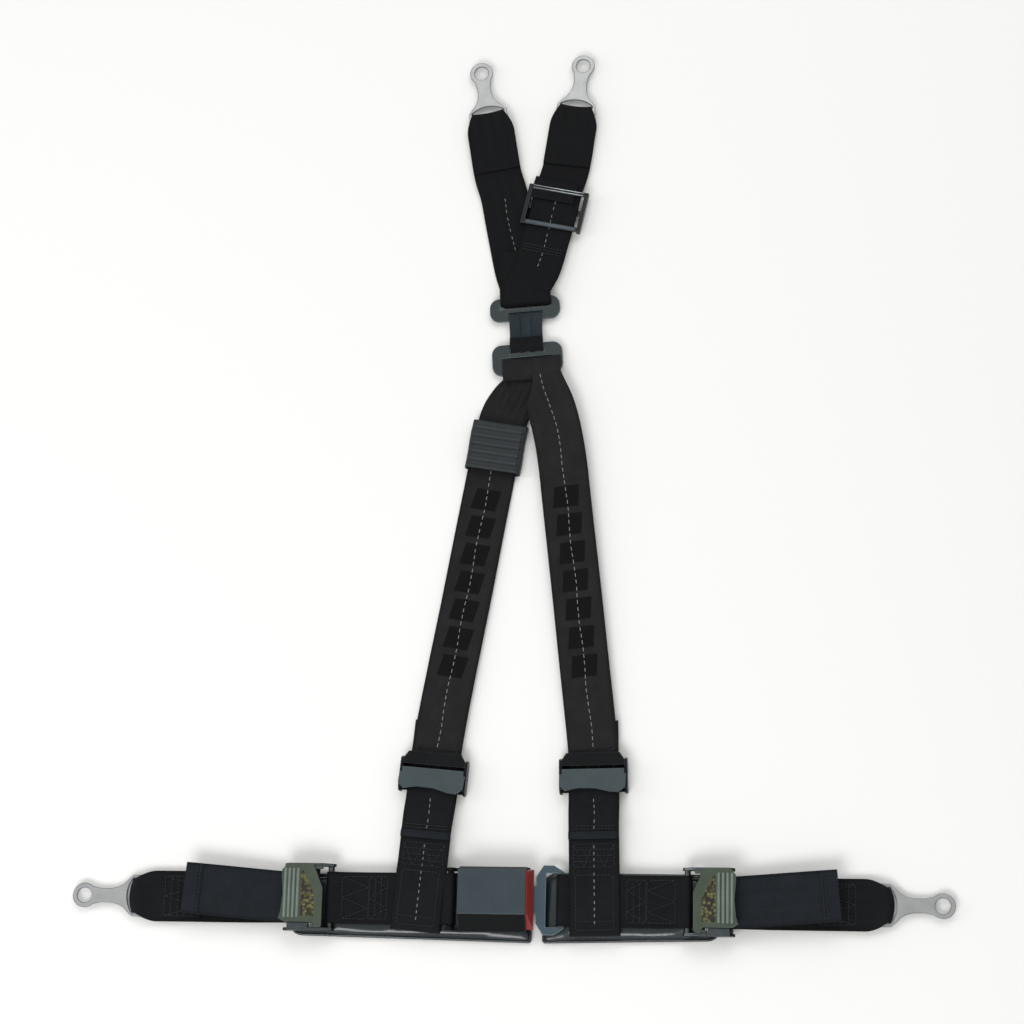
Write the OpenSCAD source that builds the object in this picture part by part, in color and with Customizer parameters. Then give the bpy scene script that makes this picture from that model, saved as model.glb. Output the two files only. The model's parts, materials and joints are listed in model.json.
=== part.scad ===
// Four-point racing harness, laid flat: two lap belts joined by a push-button
// buckle, two shoulder belts that meet at a yoke, and two rear belts.
// Millimetres. X runs along the lap belt, Y towards the rear anchors, Z up.

/* [Webbing] */
// Width of the webbing
web_w = 49; // [46:0.5:51]
// Thickness of one ply of webbing
ply = 1.4; // [1.1:0.1:1.6]
// Width of the webbing where it is folded into an anchor plate
nose_w = 33; // [30:1:33.4]
// Length over which the folded end widens again
nose_l = 20; // [16:1:24]

/* [Lap belt] */
// Place of the lap belt's middle line along Y
lap_y = -419; // [-420:1:-418]
// Distance of the left adjuster's inner bar from the Y axis
left_adjuster_x = 168; // [164:1:172]
// Distance of the right adjuster's inner bar from the Y axis
right_adjuster_x = 176; // [172:1:180]
// Distance of each lap anchor plate's bar from the Y axis
lap_anchor_x = 361; // [350:0.5:366]
// Distance of the left tail's end from the Y axis
left_tail_x = 311; // [290:1:316]
// Distance of the right tail's end from the Y axis
right_tail_x = 318; // [300:1:320]

/* [Pads] */
// Width of a lap pad
pad_w = 67; // [64:1:76]
// Place of the pads' middle line along Y
pad_y = -425.5; // [-427:0.5:-421]
// Thickness of a lap pad
pad_h = 8; // [6:0.5:8]

/* [Anchor plates] */
// Diameter of the eye for the anchor bolt
eye_d = 14.5; // [11:0.5:16]
// Diameter of the head round the eye
head_d = 24; // [23:0.5:28]
// Thickness of an anchor plate
plate_t = 3; // [2.5:0.5:3]
// Bar to eye on a lap anchor plate
lap_plate_l = 53.7; // [48:0.1:58]
// Bar to eye on a rear anchor plate
rear_plate_l = 49.3; // [46:0.1:54]

/* [Buckle] */
// Height of the buckle's top face
buckle_top = 30; // [29:1:34]
// Travel of the release button
button_travel = 5; // [3:0.5:5]
// Width of the tongue's blade
blade_w = 27; // [24:1:28]

/* [Hidden] */
$fn = 48;

eps = 0.01;
gap = 0.3;                       // running clearance between pieces that move
bar_r = 3;                       // round bars that webbing turns on
loop_r = bar_r + gap;            // inside of a webbing loop on a round bar
wide_loop_r = 3.9;               // inside of a loop on a flat yoke bar
anchor_loop_r = 4.1;             // inside of a loop on a flat anchor bar
lap_z = pad_h + gap + loop_r + ply;        // lap webbing over the pads
yoke_z = wide_loop_r + ply + 0.2;          // flat bars just off the ground
anchor_z = anchor_loop_r + ply;            // anchor loops touch the ground
adjuster_z = 6.5;                          // bars of the shoulder adjusters

// Buckle, measured from the Y axis along X
buckle_x0 = -42;
buckle_x1 = 23;
buckle_bar_x = -51;
buckle_half = 31;
buckle_face_front = 15;           // the top face sits towards the rear
buckle_face_rear = 27;
buckle_split_z = 14.2;
buckle_floor_z = pad_h + 0.5;
wall = 2;
button_x0 = 14;
button_x1 = 30;
leaf_z = 15;
seat_x = -4;                     // front of the wall that the button springs push on
screw_spots = [for (x = [-36, -14], y = [-21.5, 21.5]) [x, y]];

// Tongue
tongue_x = 31.5;
tongue_l = 27;
tongue_half = 33;
tongue_bar_x = tongue_x + 24.1;
blade_x = 4;

// Shoulder belts
left_lean = -4.8;                // degrees that the lower strap leans
right_lean = 1.6;
left_adjuster_at = [-71, -288];
right_adjuster_at = [84, -287];
left_belt = [[-71, -288], [-69, -264], [-57.5, -194], [-45.5, -124], [-35.5, -62], [-27, -11],
    [-22.8, 15], [-17, 47], [-11, 72], [-3, 94], [4.5, 113]];
right_belt = [[84, -287], [82.5, -263], [74, -194], [65.7, -124], [58, -62], [51.8, -12],
    [47, 27], [41.5, 52], [36, 73], [28, 94], [19, 113]];
sleeve_slack = 4;                // room in the lower strap's loop beside the lap belt
left_drop = 132;                 // adjuster's top bar down to the loop's middle
right_drop = 134.8;

// Yoke
yoke_at = [10, 126];
yoke_tilt = 4;
ring_half = 36;
lower_bars = [-13.4, 3.5, 12.9];           // middles of the three bars, up from yoke_at
upper_bars = [44.3, 52, 62.7];
flat_bar_w = 6.4;
mid_bar_w = 4;
link_w = 34;

// Rear belts
left_rear_anchor_at = [-37, 392];
right_rear_anchor_at = [54.6, 396.7];
left_rear_turn = 10;
right_rear_turn = -8;
left_rear_belt = [[5.6, 188.5], [2, 206], [-6.4, 244.5], [-15.5, 289], [-24.4, 334], [-33, 373]];
right_rear_belt = [[10, 194.3], [14, 206], [24, 243], [35, 286.5], [43, 331], [51.2, 378]];
slide_at = [35, 286.5];
slide_turn = -11.8;

// Outline of a ribbon that follows a path, mitred at each point
function unit(v) = v / norm(v);
function heading(path, i) = unit(path[min(i + 1, len(path) - 1)] - path[max(i - 1, 0)]);
function beside(path, i, d) = path[i] + d * [-heading(path, i)[1], heading(path, i)[0]];
function ribbon_outline(path, w) = concat(
    [for (i = [0 : len(path) - 1]) beside(path, i, w / 2)],
    [for (i = [len(path) - 1 : -1 : 0]) beside(path, i, -w / 2)]);

module ribbon(path, w) { polygon(ribbon_outline(path, w)); }

// A side view drawn in X and Z, given width w across Y
module across_y(w) { rotate([90, 0, 0]) translate([0, 0, -w / 2]) linear_extrude(w) children(); }

// A side view drawn in Y and Z, given width w across X
module across_x(w) {
    rotate([90, 0, 90]) translate([0, 0, -w / 2]) linear_extrude(w) children();
}

module ring2d(r) {
    difference() {
        circle(r + ply);
        circle(r);
    }
}

// A closed coil spring along X
module coil(r, wire, length, turns) {
    sides = 5;
    steps = 10 * turns;
    points = [for (i = [0 : steps], k = [0 : sides - 1])
        let (a = 360 * turns * i / steps, b = 360 * k / sides)
        [wire + (length - 2 * wire) * i / steps + wire * cos(b),
         (r + wire * sin(b)) * cos(a), (r + wire * sin(b)) * sin(a)]];
    walls = [for (i = [0 : steps - 1], k = [0 : sides - 1], half = [0, 1])
        let (n = (k + 1) % sides, a = i * sides, b = a + sides)
        half == 0 ? [a + k, a + n, b + n] : [a + k, b + n, b + k]];
    first = [for (k = [sides - 1 : -1 : 0]) k];
    last = [for (k = [0 : sides - 1]) steps * sides + k];
    polyhedron(points, concat([first], walls, [last]));
}

// Puts a piece drawn outboard along +X on the left or the right lap belt
module lap_side(side) { translate([0, lap_y, 0]) mirror([side < 0 ? 1 : 0, 0, 0]) children(); }

// ---------------------------------------------------------------- buckle

module cover_section(inset) {
    half = buckle_half - inset;
    front = buckle_face_front - inset / 2;
    rear = buckle_face_rear - inset / 2;
    shoulder_z = 17 - inset * 0.3;
    polygon([[-half, buckle_split_z], [half, buckle_split_z], [half, shoulder_z],
        [rear, buckle_top - inset], [-front, buckle_top - inset], [-half, shoulder_z]]);
}

module along_x(x0, x1) { translate([x0, 0, 0]) rotate([90, 0, 90]) linear_extrude(x1 - x0) children(); }

module screw_shafts(r) {
    for (s = screw_spots) translate([s[0], s[1], buckle_floor_z]) cylinder(r = r, h = 11);
}

module screw_heads(r) {
    for (s = screw_spots) translate([s[0], s[1], buckle_floor_z]) cylinder(r = r, h = 1);
}

module buckle_base() color("#1b1f21") translate([0, lap_y, 0]) {
    floor_t = 1.8;
    lug_half = 26.7;
    lug_r = 4.6;
    difference() {
        union() {
            translate([buckle_x0 - wall, -buckle_half, buckle_floor_z])
                cube([buckle_x1 - buckle_x0 + 2 * wall, 2 * buckle_half, floor_t]);
            for (y = [-buckle_half, buckle_half - wall])
                translate([buckle_x0, y, buckle_floor_z])
                    cube([buckle_x1 - buckle_x0, wall, buckle_split_z - buckle_floor_z - 0.2]);
        }
        screw_shafts(1.7);
        screw_heads(3.2);
    }
    // rails beside the blade, and the post that the latch leaf stands on
    rail_in = blade_w / 2 + 0.6;
    for (s = [-1, 1]) translate([-20, s > 0 ? rail_in : -rail_in - 5, buckle_floor_z + floor_t - eps])
        cube([42, 5, 3.6]);
    translate([-40, -8, buckle_floor_z + floor_t - eps]) cube([12, 16, leaf_z - 10.3]);
    // wall that the button springs push on, open over the blade and the leaf
    translate([seat_x - wall, 0, 0]) along_x(0, wall) difference() {
        translate([-22, buckle_floor_z + floor_t - eps]) square([46, 11]);
        translate([-rail_in, 0]) square([2 * rail_in, 18.6]);
    }
    // lugs and the bar that the inner lap webbing turns on
    for (s = [-1, 1]) translate([0, s * (lug_half + 1.5), 0]) across_y(3) {
        translate([buckle_bar_x, lap_z]) circle(lug_r);
        translate([buckle_bar_x, lap_z - lug_r]) square([12, 2 * lug_r - 4]);
    }
    translate([buckle_bar_x, 0, lap_z]) rotate([90, 0, 0])
        cylinder(r = bar_r, h = 2 * lug_half + 1, center = true);
}

module buckle_cover() color("#435057") translate([0, lap_y, 0]) {
    along_x(buckle_x0, buckle_x0 + wall) cover_section(0);
    along_x(buckle_x0, buckle_x1) difference() {
        cover_section(0);
        cover_section(wall);
        translate([-buckle_half + wall, buckle_split_z - 1]) square([2 * (buckle_half - wall), 3]);
    }
    difference() {
        intersection() {
            for (s = screw_spots) translate([s[0], s[1], buckle_split_z])
                cylinder(r = 3, h = buckle_top - buckle_split_z);
            along_x(buckle_x0, buckle_x1) cover_section(wall / 2);
        }
        screw_shafts(1.7);
    }
}

module release_button() color("#8a3531") translate([0, lap_y, 0]) {
    low_z = 16.2;
    slope = 5.5;                 // the face leans back towards its top
    difference() {
        along_x(button_x0, button_x1) intersection() {
            cover_section(wall + 0.55);
            translate([-buckle_half, low_z]) square([2 * buckle_half, buckle_top]);
        }
        translate([button_x1, -buckle_half, low_z]) across_y(200)
            polygon([[0, -1], [8, -1], [8, 14], [-slope, 14], [-slope, 11.2]]);
    }
}

module button_springs() color("silver")
    for (y = [-18, 18]) translate([seat_x + 0.05, lap_y + y, 21])
        coil(2.6, 0.45, button_x0 - seat_x - 0.1, 6);

module latch_leaf() color("#8d9296") translate([0, lap_y, 0]) across_y(14)
    polygon([[-39, leaf_z], [9, leaf_z], [12.5, 12], [15, 12], [15, leaf_z], [17, leaf_z],
        [17, leaf_z + 1], [-39, leaf_z + 1]]);

module ejector() color("#2a2d30") translate([-8, lap_y - 12, 11.4]) cube([blade_x + 8 - gap, 24, 3]);

module ejector_spring() color("silver") translate([-27.9, lap_y, 12.8]) coil(1.4, 0.3, 19.8, 8);

module buckle_screws() color("#9a9da0") translate([0, lap_y, 0]) {
    screw_shafts(1.6);
    screw_heads(3);
}

module tongue() color("#51616b") translate([0, lap_y, lap_z - plate_t / 2]) linear_extrude(plate_t)
    difference() {
        union() {
            polygon([[tongue_x, -22], [tongue_x + 7, -tongue_half], [tongue_x + 17, -tongue_half],
                [tongue_x + tongue_l, -27], [tongue_x + tongue_l, 27],
                [tongue_x + 17, tongue_half], [tongue_x + 7, tongue_half], [tongue_x, 22]]);
            polygon([[blade_x, -blade_w / 2 + 3], [blade_x + 4, -blade_w / 2],
                [tongue_x + 1, -blade_w / 2], [tongue_x + 1, blade_w / 2],
                [blade_x + 4, blade_w / 2], [blade_x, blade_w / 2 - 3]]);
        }
        translate([8.5, -8]) square([8, 16]);
        translate([tongue_x + 9.5, -25.6]) square([tongue_bar_x - 2.8 - tongue_x - 9.5, 51.2]);
    }

// -------------------------------------------------------------- lap belts

// Doubled webbing sewn round the bar at x0 and the bar at x1
module inner_webbing(side, x0, x1) color("#16181c") lap_side(side) across_y(web_w) {
    translate([x0, lap_z]) ring2d(loop_r);
    translate([x1, lap_z]) ring2d(loop_r);
    translate([x0 + loop_r + ply / 2, lap_z - ply]) square([x1 - x0 - 2 * loop_r - ply, 2 * ply]);
}

module lap_pad(x0, x1) color("#2d3a3e") translate([0, pad_y, 0]) linear_extrude(pad_h) {
    half = pad_w / 2;
    cut = 6;
    polygon([[x0, -half + cut], [x0 + cut, -half], [x1 - cut, -half], [x1, -half + cut],
        [x1, half - cut], [x1 - cut, half], [x0 + cut, half], [x0, half - cut]]);
}

// Lap adjuster, measured outboard from its inner bar
frame_half = 32;
frame_wall = 2.5;
frame_l = 45;
lock_u = 19;
lock_z = lap_z + 2;
pin_u = 10;
pin_z = 19.6;
pin_r = 2;
frame_top = 22.2;

module lap_adjuster_frame(side, x) color("#23282b") lap_side(side) translate([x, 0, 0]) {
    low = lap_z - 4.6;
    for (s = [-1, 1]) translate([0, s * (frame_half - frame_wall / 2), 0]) difference() {
        across_y(frame_wall) {
            translate([0, lap_z]) circle(4.6);
            polygon([[0, low], [frame_l - 3, low], [frame_l, low + 3], [frame_l, frame_top - 6],
                [frame_l - 5, frame_top], [5.5, frame_top], [-3.5, lap_z + 3]]);
        }
        translate([pin_u, 0, pin_z]) rotate([90, 0, 0]) cylinder(r = pin_r + gap, h = 10, center = true);
    }
    inside = 2 * (frame_half - frame_wall) + 2 * eps;
    translate([12, -inside / 2, low]) cube([frame_l - 14, inside, 1.2]);
    // polished lip along the front side plate, beside the lever
    translate([20, -inside / 2 - eps, frame_top - 1.6]) cube([frame_l - 25, 4.6, 1.6]);
    translate([0, 0, lap_z]) rotate([90, 0, 0]) cylinder(r = bar_r, h = inside, center = true);
}

module lap_lock_bar(side, x) color("#c8c8c8") lap_side(side) translate([x + lock_u, 0, lock_z])
    rotate([90, 0, 0]) cylinder(r = bar_r, h = 2 * (frame_half - frame_wall) - 0.4, center = true);

lever_z = frame_top + 0.3;
lever_half = 31;
lever_front = 24.3;              // its front edge leaves the frame's side plate in view
panel = [[13, -20.5], [27.5, -20.5], [27.5, 25], [24.5, 25], [13, 3]];

module lap_lever(side, x) color("#7c9079") lap_side(side) translate([x, 0, 0]) {
    ear_half = 27.8;
    inner_half = frame_half - frame_wall - gap;    // inboard of the pin, between the side plates
    difference() {
        translate([0, 0, lever_z]) linear_extrude(3.2) difference() {
            polygon([[6, -inner_half + 2], [8, -inner_half], [12, -inner_half],
                [15, -lever_front], [42, -lever_front], [48, -lever_front + 3],
                [46, -14], [44.5, 2], [46, 19], [46, lever_half - 6],
                [41, lever_half], [16, lever_half], [6, 8]]);
        }
        translate([0, 0, lever_z + 2.2]) linear_extrude(2) polygon(panel);
    }
    for (u = [31, 35.5, 40]) translate([u, (lever_half - lever_front) / 2, lever_z + 3])
        rotate([90, 0, 0]) cylinder(r = 1.3, h = lever_half + lever_front - 9, center = true);
    for (s = [-1, 1]) {
        translate([0, s * ear_half, 0]) across_y(2.4)
            polygon([[pin_u - 3, lever_z + eps], [pin_u - 3, pin_z - 1], [pin_u - 1, pin_z - 3],
                [pin_u + 1, pin_z - 3], [pin_u + 3, pin_z - 1], [pin_u + 8, lever_z + eps]]);
        translate([pin_u, s * (ear_half + 2), pin_z]) rotate([90, 0, 0])
            cylinder(r = pin_r, h = 4.4, center = true);
    }
}

module lap_grip(side, x) color("#4a4a28") lap_side(side) translate([x, 0, lever_z + 2.2 + eps])
    linear_extrude(0.8) offset_panel(0.15);

// The panel's outline drawn in by a small amount
module offset_panel(d) {
    middle = [21, 0];
    polygon([for (p = panel) p + d * 2 * unit(middle - p)]);
}

// Outer lap webbing: round the lock bar, down to the ground and round the anchor plate's bar
module lap_webbing(side, x, anchor_x) color("#101216") lap_side(side) {
    hem = 44;
    start = x + lock_u;
    low = lock_z - loop_r - ply / 2;
    across_y(web_w) {
        translate([start, lock_z]) ring2d(loop_r);
        ribbon([[start, low], [x + frame_l + 2, low], [x + frame_l + 30, anchor_z + 2.5],
            [anchor_x - nose_l - hem, anchor_z], [anchor_x - nose_l, anchor_z]], ply);
    }
    translate([anchor_x - nose_l - hem, -web_w / 2, anchor_z - ply]) cube([hem, web_w, ply]);
    translate([anchor_x, 0, 0]) folded_end();
}

// Folded and sewn end of a belt on an anchor bar; the belt comes from -X
module folded_end() {
    back = anchor_loop_r + ply / 2;
    translate([0, 0, anchor_z - ply]) linear_extrude(2 * ply)
        polygon([[-nose_l - eps, -web_w / 2], [-back, -nose_w / 2], [-back, nose_w / 2],
            [-nose_l - eps, web_w / 2]]);
    across_y(nose_w) translate([0, anchor_z]) ring2d(anchor_loop_r);
}

tail_root_z = 15;
tail_rise = 3;                   // degrees that the tail springs up towards its end
tail_turn = 4.5;                 // degrees that it lies askew, towards the rear

module lap_tail(side, x, end_x) color("#1d222c") lap_side(side)
    translate([x + frame_l + 3, 0, tail_root_z]) rotate([0, -tail_rise, tail_turn]) {
        tail_l = end_x - x - frame_l - 3;
        hem_l = 17;
        translate([0, -web_w / 2, -ply / 2]) cube([tail_l, web_w, ply]);
        translate([tail_l - hem_l, -web_w / 2, ply / 2 - eps]) cube([hem_l, web_w, ply]);
    }

// Anchor plate along +X from the bar that the webbing turns on
module anchor_plate(length) linear_extrude(plate_t, center = true) {
    arm = nose_w / 2 + 0.5;
    bar_half = 3.5;
    difference() {
        union() {
            translate([length, 0]) circle(d = head_d);
            // waisted neck between the fork and the head
            side = [[-bar_half, arm + 3.5], [bar_half + 2, arm + 3], [bar_half + 7, 15.5],
                [bar_half + 11, 11.5], [bar_half + 16, 8.6], [bar_half + 23, 7], [length - 17, 6.8],
                [length - 11, 8], [length - 5, head_d / 2 - 2.5]];
            polygon(concat([for (p = side) [p[0], -p[1]]],
                [for (i = [len(side) - 1 : -1 : 0]) side[i]]));
        }
        translate([length, 0]) circle(d = eye_d);
        intersection() {
            translate([bar_half, -arm]) square([8, 2 * arm]);
            translate([-17, 0]) circle(28);
        }
    }
}

module lap_anchor(side, anchor_x) color("#d4d4d4") lap_side(side)
    translate([anchor_x, 0, anchor_z]) anchor_plate(lap_plate_l);

// --------------------------------------------------------- shoulder belts

// Shoulder adjuster, measured up the belt from its top bar
shoulder_frame_half = 33;
shoulder_lock_v = -19;
shoulder_pin = [-8.5, 11];
shoulder_frame_l = 29;
shoulder_top = 14;

module shoulder_place(at, lean) { translate([at[0], at[1], 0]) rotate([0, 0, lean]) children(); }

module shoulder_adjuster_frame(at, lean) color("#20262a") shoulder_place(at, lean) {
    low = 0.3;
    for (s = [-1, 1]) translate([s * (shoulder_frame_half - frame_wall / 2), 0, 0]) difference() {
        across_x(frame_wall) {
            translate([0, adjuster_z]) circle(5.4);
            polygon([[0, low + 0.8], [-shoulder_frame_l + 2, low], [-shoulder_frame_l, low + 2],
                [-shoulder_frame_l, shoulder_top - 4], [-shoulder_frame_l + 4, shoulder_top],
                [3, shoulder_top], [5, adjuster_z + 3]]);
        }
        translate([0, shoulder_pin[0], shoulder_pin[1]]) rotate([0, 90, 0])
            cylinder(r = pin_r + gap, h = 10, center = true);
    }
    inside = 2 * (shoulder_frame_half - frame_wall) + 2 * eps;
    translate([-inside / 2, -shoulder_frame_l + 2, low]) cube([inside, shoulder_frame_l - 4, 1.1]);
    translate([0, 0, adjuster_z]) rotate([0, 90, 0]) cylinder(r = bar_r, h = inside, center = true);
    // bridge over the belt's loop, clear of the lever's upper edge as it lifts
    half = inside / 2;
    translate([0, 0, shoulder_top - 1.8]) linear_extrude(1.4)
        polygon([[-half, -2.2], [half, -2.2], [half, 3], [26, 10], [-26, 10], [-half, 3]]);
}

module shoulder_lock_bar(at, lean) color("#b8bcc0") shoulder_place(at, lean)
    translate([0, shoulder_lock_v, adjuster_z]) rotate([0, 90, 0])
        cylinder(r = bar_r, h = 2 * (shoulder_frame_half - frame_wall) - 0.4, center = true);

module shoulder_lever(at, lean) color("#475457") shoulder_place(at, lean) {
    ear_half = 28.6;
    plate_z = shoulder_top + 0.3;
    inner_half = shoulder_frame_half - frame_wall - gap;
    swing_v = -11;               // above this the plate dips between the side plates as it lifts
    translate([0, 0, plate_z]) linear_extrude(2.4)
        polygon([[-inner_half, -6], [-inner_half, swing_v], [-32.5, swing_v], [-33, -22],
            [-28, -27], [-14, -24.5], [2, -25], [16, -28.5], [24, -29], [31, -24],
            [32, swing_v], [inner_half, swing_v], [inner_half, -6]]);
    for (s = [-1, 1]) {
        translate([s * ear_half, 0, 0]) across_x(2.4)
            polygon([[-15, plate_z + eps], [-11, shoulder_pin[1] - 2], [-9, shoulder_pin[1] - 3],
                [-6.5, shoulder_pin[1] - 1], [-6, plate_z + eps]]);
        translate([s * (ear_half + 2), shoulder_pin[0], shoulder_pin[1]]) rotate([0, 90, 0])
            cylinder(r = pin_r, h = 4.4, center = true);
    }
}

// Lower strap: a sewn sleeve round the lap belt, up to the lock bar, round it and back as a tail
module lower_strap(at, lean, drop) color("#15171a") shoulder_place(at, lean) across_x(web_w) {
    sleeve_in = web_w / 2 + sleeve_slack;
    sleeve_top = -drop + sleeve_in + ply;
    join_v = -68;
    low = adjuster_z - loop_r - ply / 2;
    high = adjuster_z + loop_r + ply / 2;
    difference() {
        translate([-drop - sleeve_in - ply, lap_z - 2 * ply - 0.4])
            square([2 * (sleeve_in + ply), 4 * ply + 0.8]);
        translate([-drop - sleeve_in, lap_z - ply - 0.4])
            square([2 * sleeve_in, 2 * ply + 0.8]);
    }
    translate([sleeve_top - ply / 2, lap_z - ply]) square([join_v - sleeve_top + ply / 2, 2 * ply]);
    translate([shoulder_lock_v, adjuster_z]) ring2d(loop_r);
    ribbon([[shoulder_lock_v, low], [-30, low], [-40, 4.2], [-60, lap_z - 2.2],
        [join_v, lap_z - ply / 2], [join_v - 4, lap_z - ply / 2]], ply);
    ribbon([[shoulder_lock_v, high], [-33, high + 0.4], [-50, lap_z + 1.2],
        [join_v - 3, lap_z + 1.5 * ply + 0.1], [join_v - 5, lap_z + 1.5 * ply + 0.1]], ply);
}

// Shoulder webbing: sewn round the adjuster's top bar and run up to height end_z at the yoke
module shoulder_webbing(at, lean, belt, end_z) color("#2b2b2d") {
    hem = 38;
    rise = atan2(end_z - adjuster_z, belt[len(belt) - 1][1] - at[1]);
    path = [for (p = belt) p - at];
    shoulder_place(at, lean) across_x(web_w) {
        translate([0, adjuster_z]) ring2d(loop_r);
        translate([loop_r + ply / 2, adjuster_z - ply]) square([hem, 1.5 * ply]);
    }
    difference() {
        translate([at[0], at[1], adjuster_z]) rotate([rise, 0, 0])
            translate([0, 0, -ply / 2]) linear_extrude(ply) ribbon(path, web_w);
        shoulder_place(at, lean) translate([-50, -10, 0]) cube([100, 10 + loop_r + ply / 2, 20]);
    }
}

module left_shoulder_webbing() {
    low_z = yoke_z - wide_loop_r - ply / 2;
    shoulder_webbing(left_adjuster_at, left_lean, left_belt, low_z);
    color("#2b2b2d") yoke_place() across_x(web_w) translate([lower_bars[0], yoke_z])
        ring2d(wide_loop_r);
}

// Tear webbing: belt folded in a zigzag and sewn, which rips open to soften a crash
cover_at = [-18.8, 32];
cover_turn = -9;
cover_w = 56;
cover_l = 50;
cover_h = 14;

module tear_webbing() color("#202022") translate([cover_at[0], cover_at[1], 3.6])
    rotate([0, 0, cover_turn]) across_x(web_w - 1) for (i = [0 : 2]) {
        fold_l = 34;
        z = i * 2.6;
        translate([-fold_l / 2, z]) square([fold_l, ply]);
        if (i < 2) translate([(i % 2 == 0 ? 1 : -1) * (fold_l / 2 - ply / 2) - ply / 2, z])
            square([ply, 2.6 + ply]);
    }

module tear_webbing_cover() color("#3a3f41") translate([cover_at[0], cover_at[1], 0])
    rotate([0, 0, cover_turn]) {
        skin = 1.2;
        difference() {
            translate([-cover_w / 2, -cover_l / 2, 0.1]) cube([cover_w, cover_l, cover_h]);
            translate([-cover_w / 2 + skin, -cover_l / 2 - 1, 0.1 + 0.1])
                cube([cover_w - 2 * skin, cover_l + 2, cover_h - skin - 0.1]);
        }
    }

// ------------------------------------------------------------------- yoke

module yoke_place() { translate([yoke_at[0], yoke_at[1], 0]) rotate([0, 0, yoke_tilt]) children(); }

// Flat ring with three bars at the heights in bars; the wide slot is on the belt's side
module yoke_ring(bars, wide_first) {
    bottom = bars[0] - flat_bar_w / 2;
    top = bars[2] + flat_bar_w / 2;
    belt_slot = web_w + 3;
    link_slot = link_w + 3;
    first = wide_first ? belt_slot : link_slot;
    last = wide_first ? link_slot : belt_slot;
    round = 10;
    translate([0, 0, yoke_z - 1.5]) linear_extrude(3) difference() {
        union() {
            translate([-ring_half + round, bottom]) square([2 * (ring_half - round), top - bottom]);
            translate([-ring_half, bottom + round]) square([2 * ring_half, top - bottom - 2 * round]);
            for (x = [-ring_half + round, ring_half - round], y = [bottom + round, top - round])
                translate([x, y]) circle(round);
        }
        translate([-first / 2, bottom + flat_bar_w])
            square([first, bars[1] - mid_bar_w / 2 - bottom - flat_bar_w]);
        translate([-last / 2, bars[1] + mid_bar_w / 2])
            square([last, top - flat_bar_w - bars[1] - mid_bar_w / 2]);
    }
}

module lower_yoke_ring() color("#3a4548") yoke_place() yoke_ring(lower_bars, true);

module upper_yoke_ring() color("#3a4548") yoke_place() yoke_ring(upper_bars, false);

module yoke_link() color("#2f3b3f") yoke_place() across_x(link_w) {
    v0 = lower_bars[2];
    v1 = upper_bars[0];
    for (v = [v0, v1]) translate([v, yoke_z]) ring2d(wide_loop_r);
    translate([v0 + wide_loop_r + ply / 2, yoke_z - ply])
        square([v1 - v0 - 2 * wide_loop_r - ply, 2 * ply]);
}

// -------------------------------------------------------------- rear belts

// Rear belt from the upper ring to an anchor plate, starting at height start_z
module rear_webbing(belt, at, turn, start_z) {
    path = [for (p = belt) p - belt[0]];
    drop = atan2(anchor_z - start_z, at[1] - belt[0][1]);
    translate([belt[0][0], belt[0][1], start_z]) rotate([drop, 0, 0])
        translate([0, 0, -ply / 2]) linear_extrude(ply) ribbon(path, web_w);
    translate([at[0], at[1], 0]) rotate([0, 0, 90 + turn]) folded_end();
}

module left_rear_webbing() color("#111216") {
    rear_webbing(left_rear_belt, left_rear_anchor_at, left_rear_turn,
        yoke_z - wide_loop_r - ply / 2);
    yoke_place() across_x(web_w) translate([upper_bars[2], yoke_z]) ring2d(wide_loop_r);
}

module right_rear_webbing() color("#0d0e12") difference() {
    rear_webbing(right_rear_belt, right_rear_anchor_at, right_rear_turn,
        yoke_z + wide_loop_r + ply / 2);
    // starts clear of the ring, just past the left belt's loop
    yoke_place() translate([-ring_half - 10, upper_bars[2] - 20, 0])
        cube([2 * ring_half + 20, 20 + wide_loop_r + ply + gap, 30]);
}

// Three-bar slide on the right rear belt: outer bars over the webbing, middle bar under it
module rear_slide() color("#2c3033") translate([slide_at[0], slide_at[1], 8.1])
    rotate([0, 0, slide_turn]) rotate([-1.3, 0, 0]) {
        half = 31.5;
        length = 44;
        side_w = 4.2;
        bar_t = 2.2;
        off = ply / 2 + 0.45;
        for (s = [-1, 1]) translate([s * (half - side_w / 2), 0, 0])
            cube([side_w, length, 2 * (off + bar_t)], center = true);
        for (v = [-length / 2, length / 2 - 5]) translate([-half + eps, v, off])
            cube([2 * half - 2 * eps, 5, bar_t]);
        translate([-half + eps, -3, -off - bar_t]) cube([2 * half - 2 * eps, 6, bar_t]);
    }

module rear_anchor(at, turn) color("#d4d4d4") translate([at[0], at[1], anchor_z])
    rotate([0, 0, 90 + turn]) anchor_plate(rear_plate_l);

// ------------------------------------------------------------------ pieces

buckle_base();
buckle_cover();
release_button();
button_springs();
latch_leaf();
ejector();
ejector_spring();
buckle_screws();
tongue();

inner_webbing(-1, -buckle_bar_x, left_adjuster_x);  // left_inner_webbing
lap_pad(-210, 27);  // left_lap_pad
lap_adjuster_frame(-1, left_adjuster_x);  // left_lap_adjuster_frame
lap_lock_bar(-1, left_adjuster_x);  // left_lap_lock_bar
lap_lever(-1, left_adjuster_x);  // left_lap_lever
lap_grip(-1, left_adjuster_x);  // left_lap_grip
lap_webbing(-1, left_adjuster_x, lap_anchor_x);  // left_lap_webbing
lap_tail(-1, left_adjuster_x, left_tail_x);  // left_lap_tail
lap_anchor(-1, lap_anchor_x);  // left_lap_anchor

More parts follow.
